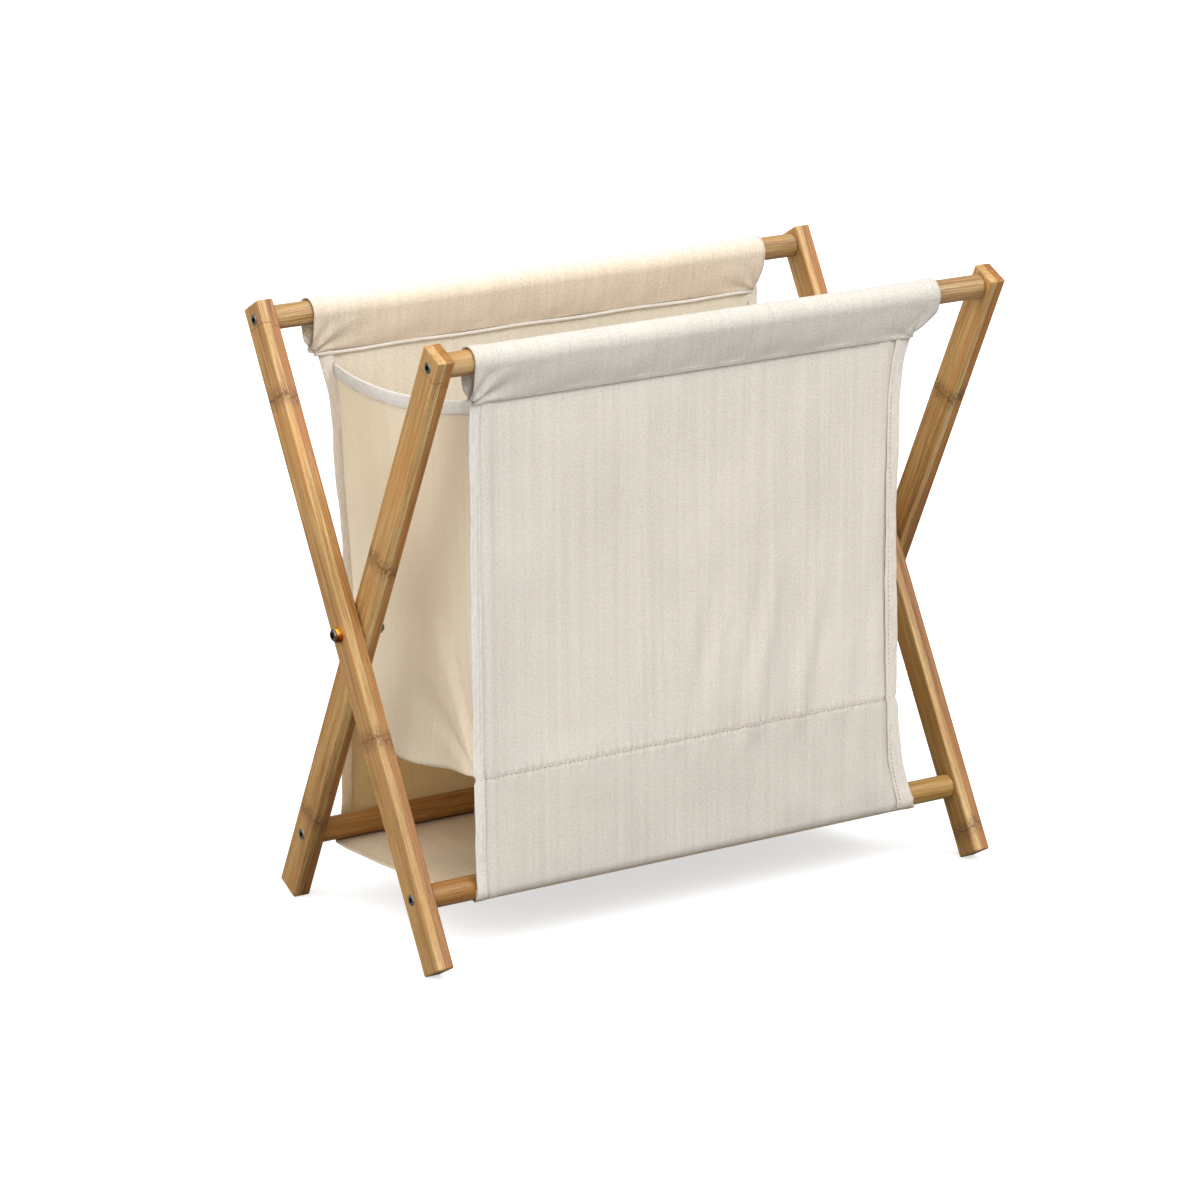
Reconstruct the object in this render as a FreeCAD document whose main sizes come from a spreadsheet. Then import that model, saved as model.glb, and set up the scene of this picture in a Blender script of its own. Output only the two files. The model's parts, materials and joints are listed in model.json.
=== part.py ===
"""Folding bamboo rack with a canvas pouch hung between its upper rails.

Two crossed frames of square-cut legs and round rails turn on one pair of pivot bolts.  The pouch hangs by
a sleeve on each upper rail, and a sling under its floor runs round the two lower rails.

Axes: +X along the rails, +Y to the back, +Z up.  The origin is at the bottom centre of the object's box.
Frame a leans its legs from the front top to the back foot, and frame b from the back top to the front foot.
"""
import FreeCAD, Part
import math
import os
import Sketcher

Vector = FreeCAD.Vector

# Driving dimensions, in millimetres and degrees.
SIZES = {
    # frame
    "frame_length": 560.0,      # over the outer faces of the outer legs
    "half_angle": 27.5,         # lean of each leg from upright, when open
    "reach_up": 266.0,          # pivot to upper rail, along a leg
    "reach_down": 221.0,        # pivot to lower rail, along a leg
    "leg_head": 13.0,           # leg beyond the upper rail
    "leg_foot": 61.0,           # leg beyond the lower rail
    "leg_width": 25.0,
    "leg_thickness": 15.0,
    "leg_rounding": 1.5,
    "leg_gap": 1.0,             # spacer washer between crossed legs
    "rail_diameter": 20.0,
    "rail_chamfer": 1.0,
    # fasteners
    "fit_gap": 0.1,             # between pieces that don't move on each other
    "running_gap": 0.08,        # between a pivot bolt and the leg that turns on it
    "screw_diameter": 4.5,
    "screw_head_diameter": 9.0,
    "screw_head_height": 3.0,
    "screw_proud": 0.5,
    "screw_grip": 30.0,         # length in the rail
    "screw_socket": 4.0,        # across the flats of the hexagon
    "bolt_diameter": 6.0,
    "bolt_head_diameter": 10.0,
    "bolt_head_height": 2.8,
    "bolt_socket": 5.0,
    "socket_depth": 2.0,
    "head_chamfer": 0.8,
    "collar_diameter": 12.6,
    "collar_thickness": 3.4,
    "washer_diameter": 13.0,
    "washer_thickness": 1.2,
    "spacer_diameter": 20.0,
    "nut_width": 10.0,
    "nut_height": 5.0,
    "nut_dome": 1.2,            # radius of the dome beyond the bolt
    "thread_spare": 2.0,        # bolt beyond the flat of its cap nut
    # cloth
    "cloth_thickness": 1.2,
    "cloth_gap": 0.4,           # cloth to the rail that it passes round
    "cloth_clear": 0.3,         # between cloth pieces that move on each other
    "cloth_shift": -7.0,        # the cloth sits this far along the rails from their middle
    "sleeve_width": 445.0,
    "seam_drop": 33.0,          # upper rail to the seam that closes its sleeve
    "sleeve_apex": 4.0,         # height of the sewn foot of the sleeve
    "panel_top_width": 428.0,
    "panel_low_width": 416.0,
    "panel_waist": 4.0,         # how far each side edge draws in
    "floor_drop": 340.0,        # upper rail to the stitch line of the pouch's floor
    "sling_width": 430.0,
    "pouch_length": 388.0,      # between the end panels
    "end_drop": 37.0,           # upper rail to the top corners of the end panels
    "end_sag": 14.0,
    "binding_width": 12.0,
    "binding_thickness": 0.8,
    "tape_width": 10.0,
    "tape_thickness": 1.6,
}


def worked_out(v):
    """Places and sizes that follow from the driving dimensions."""
    lean = math.radians(v["half_angle"])
    rounding = v["leg_rounding"]
    leg_top = v["reach_up"] + v["leg_head"]
    leg_low = v["reach_down"] + v["leg_foot"]
    top_y, top_z = v["reach_up"] * math.sin(lean), v["reach_up"] * math.cos(lean)
    low_y, low_z = v["reach_down"] * math.sin(lean), v["reach_down"] * math.cos(lean)
    # The foot stands on the round of its lower corner.
    foot_corner = v["leg_width"] / 2 - rounding
    pivot_height = (leg_low - rounding) * math.cos(lean) + foot_corner * math.sin(lean) + rounding
    rail_radius = v["rail_diameter"] / 2
    # The cloth's middle surface runs from the upper rail's axis, tangent to a circle round the lower rail.
    wrap_radius = rail_radius + v["cloth_gap"] + v["cloth_thickness"] / 2
    span = math.hypot(top_y - low_y, top_z + low_z)
    cloth_lean = math.atan2(top_y - low_y, top_z + low_z) - math.asin(wrap_radius / span)
    drop_length = math.sqrt(span**2 - wrap_radius**2)

    def panel_inside(drop):
        """Distance of a hanging panel's inner face from the middle, and its height, at a drop along it."""
        inner = v["cloth_thickness"] / 2 + v["cloth_clear"]
        y = top_y - drop * math.sin(cloth_lean) - inner * math.cos(cloth_lean)
        return y, top_z - drop * math.cos(cloth_lean)

    end_y, end_z = panel_inside(v["end_drop"])
    binding_y, binding_z = panel_inside(v["end_drop"] + v["binding_width"])
    floor_y, floor_z = panel_inside(v["floor_drop"])
    edge_rise = v["floor_drop"] - v["seam_drop"]
    edge_run = (v["panel_top_width"] - v["panel_low_width"]) / 2
    edge_chord = math.hypot(edge_rise, edge_run)
    return {
        "pivot_height": pivot_height,
        "leg_top": leg_top,
        "leg_low": leg_low,
        "leg_half": v["leg_width"] / 2,
        "outer_face": v["frame_length"] / 2,
        "through": 4 * v["leg_thickness"],
        "leg_pitch": v["leg_thickness"] + v["leg_gap"],
        "rail_radius": rail_radius,
        "rail_length": v["frame_length"] - 3 * v["leg_thickness"] - v["leg_gap"],
        "screw_radius": v["screw_diameter"] / 2,
        "screw_hole": v["screw_diameter"] / 2 + v["fit_gap"],
        "screw_head_radius": v["screw_head_diameter"] / 2,
        "screw_head_foot": v["screw_head_height"] - v["screw_proud"],
        "screw_recess": v["screw_head_diameter"] / 2 + v["fit_gap"],
        "screw_recess_depth": 2 * (v["screw_head_height"] - v["screw_proud"]),
        "screw_tip": v["leg_thickness"] + v["screw_grip"],
        "pilot_depth": 2 * (v["screw_grip"] + 1.0),
        "screw_socket_radius": v["screw_socket"] / math.sqrt(3),
        "socket_cut": 2 * v["socket_depth"],
        "screw_bevel": v["head_chamfer"] - v["screw_proud"],
        "screw_face_radius": v["screw_head_diameter"] / 2 - v["head_chamfer"],
        "bolt_radius": v["bolt_diameter"] / 2,
        "bolt_hole": v["bolt_diameter"] / 2 + v["running_gap"],
        "bolt_top": v["collar_thickness"] + v["bolt_head_height"],
        "bolt_bevel": v["collar_thickness"] + v["bolt_head_height"] - v["head_chamfer"],
        "collar_radius": v["collar_diameter"] / 2,
        "bolt_face_radius": v["bolt_head_diameter"] / 2 - v["head_chamfer"],
        "bolt_head_radius": v["bolt_head_diameter"] / 2,
        "bolt_socket_radius": v["bolt_socket"] / math.sqrt(3),
        "bolt_tip": 2 * v["leg_thickness"] + v["leg_gap"] + v["washer_thickness"]
        + v["nut_height"] + v["thread_spare"],
        "washer_radius": v["washer_diameter"] / 2,
        "washer_hole": v["bolt_diameter"] / 2 + v["fit_gap"],
        "spacer_radius": v["spacer_diameter"] / 2,
        "nut_corner": v["nut_width"] / math.sqrt(3),
        "nut_bore_depth": 2 * (v["nut_height"] + v["thread_spare"] + v["fit_gap"]),
        "dome_radius": v["bolt_diameter"] / 2 + v["nut_dome"],
        "nut_top": v["nut_height"] + v["bolt_diameter"] / 2 + v["nut_dome"],
        "cloth_lean": math.degrees(cloth_lean),
        "top_y": top_y,
        "top_z": top_z,
        "low_y": low_y,
        "low_z": low_z,
        "drop_length": drop_length,
        "sleeve_inside": rail_radius + v["cloth_gap"],
        "sleeve_outside": rail_radius + v["cloth_gap"] + v["cloth_thickness"],
        "sleeve_crotch": v["seam_drop"] - v["sleeve_apex"],
        "panel_top_half": v["panel_top_width"] / 2,
        "panel_low_half": v["panel_low_width"] / 2,
        "waist_radius": (edge_chord**2 / 4 + v["panel_waist"] ** 2) / (2 * v["panel_waist"]),
        "sling_half": v["sling_width"] / 2,
        "sling_depth": 2 * low_y,
        "wrap_angle": 90.0 - math.degrees(cloth_lean),
        "end_y": end_y,
        "end_z": end_z,
        "binding_y": binding_y,
        "binding_z": binding_z,
        "sag_radius": (end_y**2 + v["end_sag"] ** 2) / (2 * v["end_sag"]),
        "binding_radius": (binding_y**2 + v["end_sag"] ** 2) / (2 * v["end_sag"]),
        "floor_y": floor_y,
        "floor_z": floor_z,
        "floor_depth": 2 * floor_y,
        "tape_length": edge_rise,
    }


VALUES = dict(SIZES)
VALUES.update(worked_out(SIZES))

doc = FreeCAD.newDocument("folding_pouch_rack")


def make_sheet(name, values):
    sheet = doc.addObject("Spreadsheet::Sheet", name)
    for row, (alias, value) in enumerate(values.items(), start=1):
        sheet.set("A%d" % row, alias)
        sheet.set("B%d" % row, repr(float(value)))
        sheet.setAlias("B%d" % row, alias)
    return sheet


make_sheet("sizes", SIZES)
make_sheet("worked", {k: v for k, v in VALUES.items() if k not in SIZES})
doc.recompute()

sub_parts = []


def number(name):
    """The value of a named size; a leading minus turns its sign, and "0" is zero."""
    if name == "0":
        return 0.0
    return -VALUES[name[1:]] if name.startswith("-") else VALUES[name]


def expression(name):
    """The same value as an expression that reads its spreadsheet cell."""
    if name == "0":
        return "0"
    plain = name.lstrip("-")
    sign = "-" if name.startswith("-") else ""
    return sign + ("sizes." if plain in SIZES else "worked.") + plain


def new_body(label):
    body = doc.addObject("PartDesign::Body", label)
    body.Label = label
    sub_parts.append(body)
    return body


def new_sketch(body, name, role, offset="0"):
    """A sketch on one of the body's own origin planes, moved along its normal by a named size."""
    plane = [f for f in body.Origin.OriginFeatures if f.Role == role][0]
    sketch = body.newObject("Sketcher::SketchObject", name)
    sketch.AttachmentSupport = [(plane, "")]
    sketch.MapMode = "FlatFace"
    if offset != "0":
        sketch.AttachmentOffset = FreeCAD.Placement(Vector(0, 0, number(offset)), FreeCAD.Rotation())
        sketch.setExpression("AttachmentOffset.Base.z", expression(offset))
    return sketch


def bind(sketch, name, *constraint):
    """A constraint whose value reads a named size."""
    index = sketch.addConstraint(Sketcher.Constraint(*constraint, number(name)))
    sketch.setExpression("Constraints[%d]" % index, expression(name))


def bind_point(sketch, edge, end, corner):
    bind(sketch, corner[0], "DistanceX", -1, 1, edge, end)
    bind(sketch, corner[1], "DistanceY", -1, 1, edge, end)


def join(sketch, edge, end, other, other_end):
    sketch.addConstraint(Sketcher.Constraint("Coincident", edge, end, other, other_end))


def arc_between(start, end, radius, side):
    """The shorter arc from start to end; side is +1 when it bows to the left of the way along it."""
    chord = end - start
    left = Vector(-chord.y, chord.x, 0).normalize()
    back = math.sqrt(radius**2 - (chord.Length / 2) ** 2)
    centre = (start + end) / 2 - left * (side * back)
    first, last = (end, start) if side > 0 else (start, end)
    angles = [math.atan2(p.y - centre.y, p.x - centre.x) for p in (first, last)]
    return Part.ArcOfCircle(Part.Circle(centre, Vector(0, 0, 1), radius), *angles)


def outline(sketch, corners, bends=None):
    """A closed outline through corners of named sizes; bends gives the (radius, side) of arc edges."""
    bends = bends or {}
    points = [Vector(number(x), number(y), 0) for x, y in corners]
    count = len(points)
    ends = []
    for i in range(count):
        start, end = points[i], points[(i + 1) % count]
        if i in bends:
            radius, side = bends[i]
            sketch.addGeometry(arc_between(start, end, number(radius), side), False)
            ends.append((2, 1) if side > 0 else (1, 2))
        else:
            sketch.addGeometry(Part.LineSegment(start, end), False)
            ends.append((1, 2))
    for i in range(count):
        following = (i + 1) % count
        join(sketch, i, ends[i][1], following, ends[following][0])
    for i, corner in enumerate(corners):
        bind_point(sketch, i, ends[i][0], corner)
    for i, (radius, side) in bends.items():
        bind(sketch, radius, "Radius", i)


def circle(sketch, radius, centre=("0", "0")):
    edge = sketch.GeometryCount
    middle = Vector(number(centre[0]), number(centre[1]), 0)
    sketch.addGeometry(Part.Circle(middle, Vector(0, 0, 1), number(radius)), False)
    bind_point(sketch, edge, 3, centre)
    bind(sketch, radius, "Radius", edge)


def hexagon(sketch, corner_radius):
    """Six equal edges with their corners on a construction circle."""
    radius = number(corner_radius)
    corners = [
        Vector(radius * math.cos(math.radians(60 * i)), radius * math.sin(math.radians(60 * i)), 0)
        for i in range(6)
    ]
    for i in range(6):
        sketch.addGeometry(Part.LineSegment(corners[i], corners[(i + 1) % 6]), False)
    sketch.addGeometry(Part.Circle(Vector(0, 0, 0), Vector(0, 0, 1), radius), True)
    for i in range(6):
        join(sketch, i, 2, (i + 1) % 6, 1)
        sketch.addConstraint(Sketcher.Constraint("PointOnObject", i, 1, 6))
    for i in range(1, 6):
        sketch.addConstraint(Sketcher.Constraint("Equal", 0, i))
    join(sketch, 6, 3, -1, 1)
    sketch.addConstraint(Sketcher.Constraint("PointOnObject", 0, 1, -1))
    bind(sketch, corner_radius, "Radius", 6)


def pad(body, sketch, length, both_ways=False):
    feature = body.newObject("PartDesign::Pad", "pad")
    feature.Profile = sketch
    feature.Midplane = both_ways
    feature.setExpression("Length", expression(length))
    return feature


def pocket(body, sketch, length):
    """A cut by half of length each way from the sketch, so that no side of it can be missed."""
    feature = body.newObject("PartDesign::Pocket", "pocket")
    feature.Profile = sketch
    feature.Midplane = True
    feature.setExpression("Length", expression(length))
    return feature


def revolve(body, sketch):
    feature = body.newObject("PartDesign::Revolution", "revolve")
    feature.Profile = sketch
    feature.ReferenceAxis = (sketch, ["H_Axis"])
    feature.Angle = 360.0
    return feature


def edge_names(feature, wanted):
    """Names of the feature's edges for which wanted(edge) holds."""
    doc.recompute()
    return ["Edge%d" % i for i, e in enumerate(feature.Shape.Edges, start=1) if wanted(e)]


# Frames -----------------------------------------------------------------------------------------

FRAME_LEAN = {"a": 1, "b": -1}  # sign of each frame's turn about +X


def on_frame(frame, x, up=0.0, turned=False):
    """Placement at x along the rails and up along the legs of a frame; turned points a piece towards -X."""
    lean = FreeCAD.Rotation(Vector(1, 0, 0), FRAME_LEAN[frame] * number("half_angle"))
    base = Vector(0, 0, number("pivot_height")) + lean.multVec(Vector(x, 0, up))
    half_turn = FreeCAD.Rotation(Vector(0, 0, 1), 180.0 if turned else 0.0)
    return FreeCAD.Placement(base, lean * half_turn)


def make_leg(label, frame, low_x, outside):
    """A square-cut bar with rounded edges, bored for its pivot bolt and recessed for its two rail screws."""
    leg = new_body(label)
    bar = new_sketch(leg, "bar", "YZ_Plane")
    outline(bar, [
        ("-leg_half", "-leg_low"),
        ("leg_half", "-leg_low"),
        ("leg_half", "leg_top"),
        ("-leg_half", "leg_top"),
    ])
    solid = pad(leg, bar, "leg_thickness")
    rounds = leg.newObject("PartDesign::Fillet", "rounds")
    rounds.Base = (solid, edge_names(solid, lambda edge: True))
    rounds.setExpression("Radius", expression("leg_rounding"))
    bores = new_sketch(leg, "bores", "YZ_Plane")
    circle(bores, "bolt_hole")
    circle(bores, "screw_hole", ("0", "reach_up"))
    circle(bores, "screw_hole", ("0", "-reach_down"))
    pocket(leg, bores, "through")
    recesses = new_sketch(leg, "recesses", "YZ_Plane", outside)
    circle(recesses, "screw_recess", ("0", "reach_up"))
    circle(recesses, "screw_recess", ("0", "-reach_down"))
    pocket(leg, recesses, "screw_recess_depth")
    leg.Placement = on_frame(frame, low_x)


def make_rail(label, frame, low_x, up):
    """A round rail, chamfered and drilled at both ends for its screws."""
    rail = new_body(label)
    section = new_sketch(rail, "section", "YZ_Plane")
    circle(section, "rail_radius")
    solid = pad(rail, section, "rail_length")
    rims = rail.newObject("PartDesign::Chamfer", "rims")
    rims.Base = (solid, edge_names(solid, lambda edge: edge.Closed))
    rims.setExpression("Size", expression("rail_chamfer"))
    for end in ("0", "rail_length"):
        pilot = new_sketch(rail, "pilot", "YZ_Plane", end)
        circle(pilot, "screw_hole")
        pocket(rail, pilot, "pilot_depth")
    rail.Placement = on_frame(frame, low_x, up)


def make_screw(label, frame, face_x, up, turned):
    """A rail screw with a hexagon socket, seated in the recess of the leg's outer face."""
    screw = new_body(label)
    half = new_sketch(screw, "half", "XY_Plane")
    outline(half, [
        ("-screw_proud", "0"),
        ("-screw_proud", "screw_face_radius"),
        ("screw_bevel", "screw_head_radius"),
        ("screw_head_foot", "screw_head_radius"),
        ("screw_head_foot", "screw_radius"),
        ("screw_tip", "screw_radius"),
        ("screw_tip", "0"),
    ])
    revolve(screw, half)
    socket = new_sketch(screw, "socket", "YZ_Plane", "-screw_proud")
    hexagon(socket, "screw_socket_radius")
    pocket(screw, socket, "socket_cut")
    screw.Placement = on_frame(frame, face_x, up, turned)


def make_pivot(side, frame, face_x, turned):
    """One pivot: bolt and collar outside, spacer between the legs, washer and cap nut inside."""
    bolt = new_body(side + "_pivot_bolt")
    half = new_sketch(bolt, "half", "XY_Plane")
    outline(half, [
        ("-bolt_top", "0"),
        ("-bolt_top", "bolt_face_radius"),
        ("-bolt_bevel", "bolt_head_radius"),
        ("-collar_thickness", "bolt_head_radius"),
        ("-collar_thickness", "bolt_radius"),
        ("bolt_tip", "bolt_radius"),
        ("bolt_tip", "0"),
    ])
    revolve(bolt, half)
    socket = new_sketch(bolt, "socket", "YZ_Plane", "-bolt_top")
    hexagon(socket, "bolt_socket_radius")
    pocket(bolt, socket, "socket_cut")
    bolt.Placement = on_frame(frame, face_x, 0.0, turned)

    inward = -1 if turned else 1
    inner_face = number("leg_pitch") + number("leg_thickness")
    rings = {
        "collar": (-number("collar_thickness"), "collar_radius", "collar_thickness"),
        "spacer_washer": (number("leg_thickness"), "spacer_radius", "leg_gap"),
        "inner_washer": (inner_face, "washer_radius", "washer_thickness"),
    }
    for name, (start, radius, thickness) in rings.items():
        ring = new_body("%s_pivot_%s" % (side, name))
        section = new_sketch(ring, "section", "YZ_Plane")
        circle(section, radius)
        circle(section, "washer_hole")
        pad(ring, section, thickness)
        ring.Placement = on_frame(frame, face_x + inward * start, 0.0, turned)

    nut = new_body(side + "_pivot_cap_nut")
    flats = new_sketch(nut, "flats", "YZ_Plane")
    hexagon(flats, "nut_corner")
    pad(nut, flats, "nut_height")
    dome = new_sketch(nut, "dome", "XY_Plane")
    outline(
        dome,
        [("nut_height", "0"), ("nut_height", "dome_radius"), ("nut_top", "0")],
        {1: ("dome_radius", 1)},
    )
    revolve(nut, dome)
    bore = new_sketch(nut, "bore", "YZ_Plane")
    circle(bore, "washer_hole")
    pocket(nut, bore, "nut_bore_depth")
    nut.Placement = on_frame(
        frame, face_x + inward * (inner_face + number("washer_thickness")), 0.0, turned
    )


outer_face = number("outer_face")
leg_thickness = number("leg_thickness")
leg_pitch = number("leg_pitch")
rail_heights = {"top": number("reach_up"), "bottom": -number("reach_down")}

make_leg("left_outer_leg", "b", -outer_face, "0")
make_leg("left_inner_leg", "a", -outer_face + leg_pitch, "0")
make_leg("right_inner_leg", "b", outer_face - leg_pitch - leg_thickness, "leg_thickness")
make_leg("right_outer_leg", "a", outer_face - leg_thickness, "leg_thickness")

# Frame a reaches from the left inner leg to the right outer leg, and frame b the other way round.
left_face = {"a": -outer_face + leg_pitch, "b": -outer_face}
right_face = {"a": outer_face, "b": outer_face - leg_pitch}
RAILS = {
    "front_top_rail": ("a", "top"),
    "back_top_rail": ("b", "top"),
    "front_bottom_rail": ("b", "bottom"),
    "back_bottom_rail": ("a", "bottom"),
}
for rail_name, (frame, level) in RAILS.items():
    up = rail_heights[level]
    make_rail(rail_name, frame, left_face[frame] + leg_thickness, up)
    make_screw(rail_name + "_left_screw", frame, left_face[frame], up, False)
    make_screw(rail_name + "_right_screw", frame, right_face[frame], up, True)

make_pivot("left", "b", -outer_face, False)
make_pivot("right", "a", outer_face, True)


# Cloth ------------------------------------------------------------------------------------------

CLOTH_SIDE = {"front": -1, "back": 1}  # sign of Y


def on_panel(side, x=0.0, inward=0.0, drop=0.0):
    """Placement on a hanging panel: x from the cloth's middle, inward from its middle surface, down it."""
    sign = CLOTH_SIDE[side]
    lean = FreeCAD.Rotation(Vector(1, 0, 0), -sign * number("cloth_lean"))
    rail = Vector(number("cloth_shift"), sign * number("top_y"), number("pivot_height") + number("top_z"))
    return FreeCAD.Placement(rail + lean.multVec(Vector(x, -sign * inward, -drop)), lean)


def tangent_point(x, y, radius):
    """Where a line from (x, y), below a circle at the origin, touches the circle on the +x side."""
    turn = math.atan2(x, -y) + math.acos(radius / math.hypot(x, y))
    return Vector(radius * math.sin(turn), -radius * math.cos(turn), 0)


def teardrop(sketch, first_edge, radius, foot_half, foot_drop):
    """An arc over the rail with two tangent lines down to a foot, which is a point when foot_half is "0"."""
    x, y = number(foot_half), -number(foot_drop)
    right = tangent_point(x, y, number(radius))
    left = Vector(-right.x, right.y, 0)
    start = math.atan2(right.y, right.x)
    ring = Part.Circle(Vector(0, 0, 0), Vector(0, 0, 1), number(radius))
    sketch.addGeometry(Part.ArcOfCircle(ring, start, math.pi - start), False)
    sketch.addGeometry(Part.LineSegment(left, Vector(-x, y, 0)), False)
    sketch.addGeometry(Part.LineSegment(Vector(x, y, 0), right), False)
    arc, falling, rising = first_edge, first_edge + 1, first_edge + 2
    join(sketch, arc, 3, -1, 1)
    bind(sketch, radius, "Radius", arc)
    sketch.addConstraint(Sketcher.Constraint("Tangent", arc, 2, falling, 1))
    sketch.addConstraint(Sketcher.Constraint("Tangent", rising, 2, arc, 1))
    bind_point(sketch, rising, 1, (foot_half, "-" + foot_drop))
    if foot_half == "0":
        join(sketch, falling, 2, rising, 1)
        return 3
    bind_point(sketch, falling, 2, ("-" + foot_half, "-" + foot_drop))
    sketch.addGeometry(Part.LineSegment(Vector(-x, y, 0), Vector(x, y, 0)), False)
    join(sketch, falling, 2, first_edge + 3, 1)
    join(sketch, first_edge + 3, 2, rising, 1)
    return 4


def make_sleeve(side):
    """The loop of cloth over an upper rail, sewn shut along its foot."""
    sleeve = new_body(side + "_sleeve")
    section = new_sketch(sleeve, "section", "YZ_Plane")
    used = teardrop(section, 0, "sleeve_outside", "cloth_thickness", "seam_drop")
    teardrop(section, used, "sleeve_inside", "0", "sleeve_crotch")
    pad(sleeve, section, "sleeve_width", both_ways=True)
    sleeve.Placement = on_panel(side)


def make_panel(side):
    """The pouch's wall, from the sleeve's seam to the stitch line of the floor."""
    panel = new_body(side + "_panel")
    face = new_sketch(panel, "face", "XZ_Plane")
    outline(
        face,
        [
            ("-panel_low_half", "-floor_drop"),
            ("panel_low_half", "-floor_drop"),
            ("panel_top_half", "-seam_drop"),
            ("-panel_top_half", "-seam_drop"),
        ],
        {1: ("waist_radius", 1), 3: ("waist_radius", 1)},
    )
    pad(panel, face, "cloth_thickness", both_ways=True)
    panel.Placement = on_panel(side)


def make_drop(side):
    """The straight fall of the sling, from the stitch line to where it meets the lower rail."""
    drop = new_body(side + "_drop")
    face = new_sketch(drop, "face", "XZ_Plane")
    outline(face, [
        ("-sling_half", "-drop_length"),
        ("sling_half", "-drop_length"),
        ("panel_low_half", "-floor_drop"),
        ("-panel_low_half", "-floor_drop"),
    ])
    pad(drop, face, "cloth_thickness", both_ways=True)
    drop.Placement = on_panel(side)


def new_primitive(kind, label, **bindings):
    feature = doc.addObject(kind, label)
    for prop, name in bindings.items():
        feature.setExpression(prop, expression(name))
    return feature


def make_wrap(side):
    """The quarter turn of the sling round the outside and underside of a lower rail."""
    outer = new_primitive("Part::Cylinder", side + "_wrap_outer",
                          Radius="sleeve_outside", Height="sling_width", Angle="wrap_angle")
    inner = new_primitive("Part::Cylinder", side + "_wrap_inner",
                          Radius="sleeve_inside", Height="sling_width")
    wrap = doc.addObject("Part::Cut", side + "_wrap")
    wrap.Base = outer
    wrap.Tool = inner
    wrap.Label = side + "_wrap"
    sub_parts.append(wrap)
    start = 180.0 + number("cloth_lean") if side == "front" else 270.0
    base = Vector(
        number("cloth_shift") - number("sling_half"),
        CLOTH_SIDE[side] * number("low_y"),
        number("pivot_height") - number("low_z"),
    )
    axes = FreeCAD.Rotation(Vector(1, 1, 1), 120.0)  # the cylinder's axis to +X, its start to +Y
    wrap.Placement = FreeCAD.Placement(base, FreeCAD.Rotation(Vector(1, 0, 0), start) * axes)


def make_flat(label, length, depth, low_z):
    """A level sheet of cloth across the middle."""
    sheet = new_primitive("Part::Box", label, Length=length, Width=depth, Height="cloth_thickness")
    sheet.Label = label
    sub_parts.append(sheet)
    corner = Vector(number("cloth_shift") - number(length) / 2, -number(depth) / 2, low_z)
    sheet.Placement = FreeCAD.Placement(corner, FreeCAD.Rotation())


def make_end(side):
    """An end panel with a sagging top edge, and the binding folded over that edge."""
    outward = -1 if side == "left" else 1
    inside = number("cloth_shift") + outward * number("pouch_length") / 2
    height = number("pivot_height")

    end = new_body(side + "_end_panel")
    face = new_sketch(end, "face", "YZ_Plane")
    outline(
        face,
        [("-floor_y", "floor_z"), ("floor_y", "floor_z"), ("end_y", "end_z"), ("-end_y", "end_z")],
        {2: ("sag_radius", 1)},
    )
    pad(end, face, "cloth_thickness")
    low_x = inside if outward > 0 else inside - number("cloth_thickness")
    end.Placement = FreeCAD.Placement(Vector(low_x, 0, height), FreeCAD.Rotation())

    binding = new_body(side + "_end_binding")
    face = new_sketch(binding, "face", "YZ_Plane")
    outline(
        face,
        [("-binding_y", "binding_z"), ("binding_y", "binding_z"), ("end_y", "end_z"), ("-end_y", "end_z")],
        {0: ("binding_radius", -1), 2: ("sag_radius", 1)},
    )
    pad(binding, face, "binding_thickness")
    outside = inside + outward * number("cloth_thickness")
    low_x = outside if outward > 0 else outside - number("binding_thickness")
    binding.Placement = FreeCAD.Placement(Vector(low_x, 0, height), FreeCAD.Rotation())


def make_seam_tape(side, hand):
    """The bound edges of a corner seam, lying against the inner face of a panel outside the pouch."""
    label = "%s_%s_seam_tape" % (side, hand)
    tape = new_primitive("Part::Box", label,
                         Length="tape_width", Width="tape_thickness", Height="tape_length")
    tape.Label = label
    sub_parts.append(tape)
    near = number("pouch_length") / 2 + number("cloth_thickness") + number("binding_thickness")
    near = near + number("cloth_clear")
    x = -near - number("tape_width") if hand == "left" else near
    inward = number("cloth_thickness") / 2 + (number("tape_thickness") if side == "back" else 0.0)
    tape.Placement = on_panel(side, x, inward, number("floor_drop"))


for side in CLOTH_SIDE:
    make_sleeve(side)
    make_panel(side)
    make_drop(side)
    make_wrap(side)
    for hand in ("left", "right"):
        make_seam_tape(side, hand)
for hand in ("left", "right"):
    make_end(hand)
make_flat("pouch_floor", "pouch_length", "floor_depth", number("pivot_height") + number("floor_z"))
make_flat(
    "sling_base",
    "sling_width",
    "sling_depth",
    number("pivot_height") - number("low_z") - number("sleeve_outside"),
)


# Output -----------------------------------------------------------------------------------------

doc.recompute()
for item in doc.Objects:
    if "Invalid" in item.State or "Error" in item.State:
        raise RuntimeError("%s did not build: %s" % (item.Label, item.State))
os.makedirs("parts", exist_ok=True)
for item in sub_parts:
    shape = item.Shape
    if shape.isNull() or not shape.isValid():
        raise RuntimeError("%s has no valid shape" % item.Label)
    shape.exportStep("parts/%s.step" % item.Label)
    box = shape.BoundBox
    print("%-32s solids %d  volume %9.1f  x %7.2f %7.2f  y %7.2f %7.2f  z %7.2f %7.2f" % (
        item.Label, len(shape.Solids), shape.Volume,
        box.XMin, box.XMax, box.YMin, box.YMax, box.ZMin, box.ZMax))
print("sub-parts", len(sub_parts))
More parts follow.
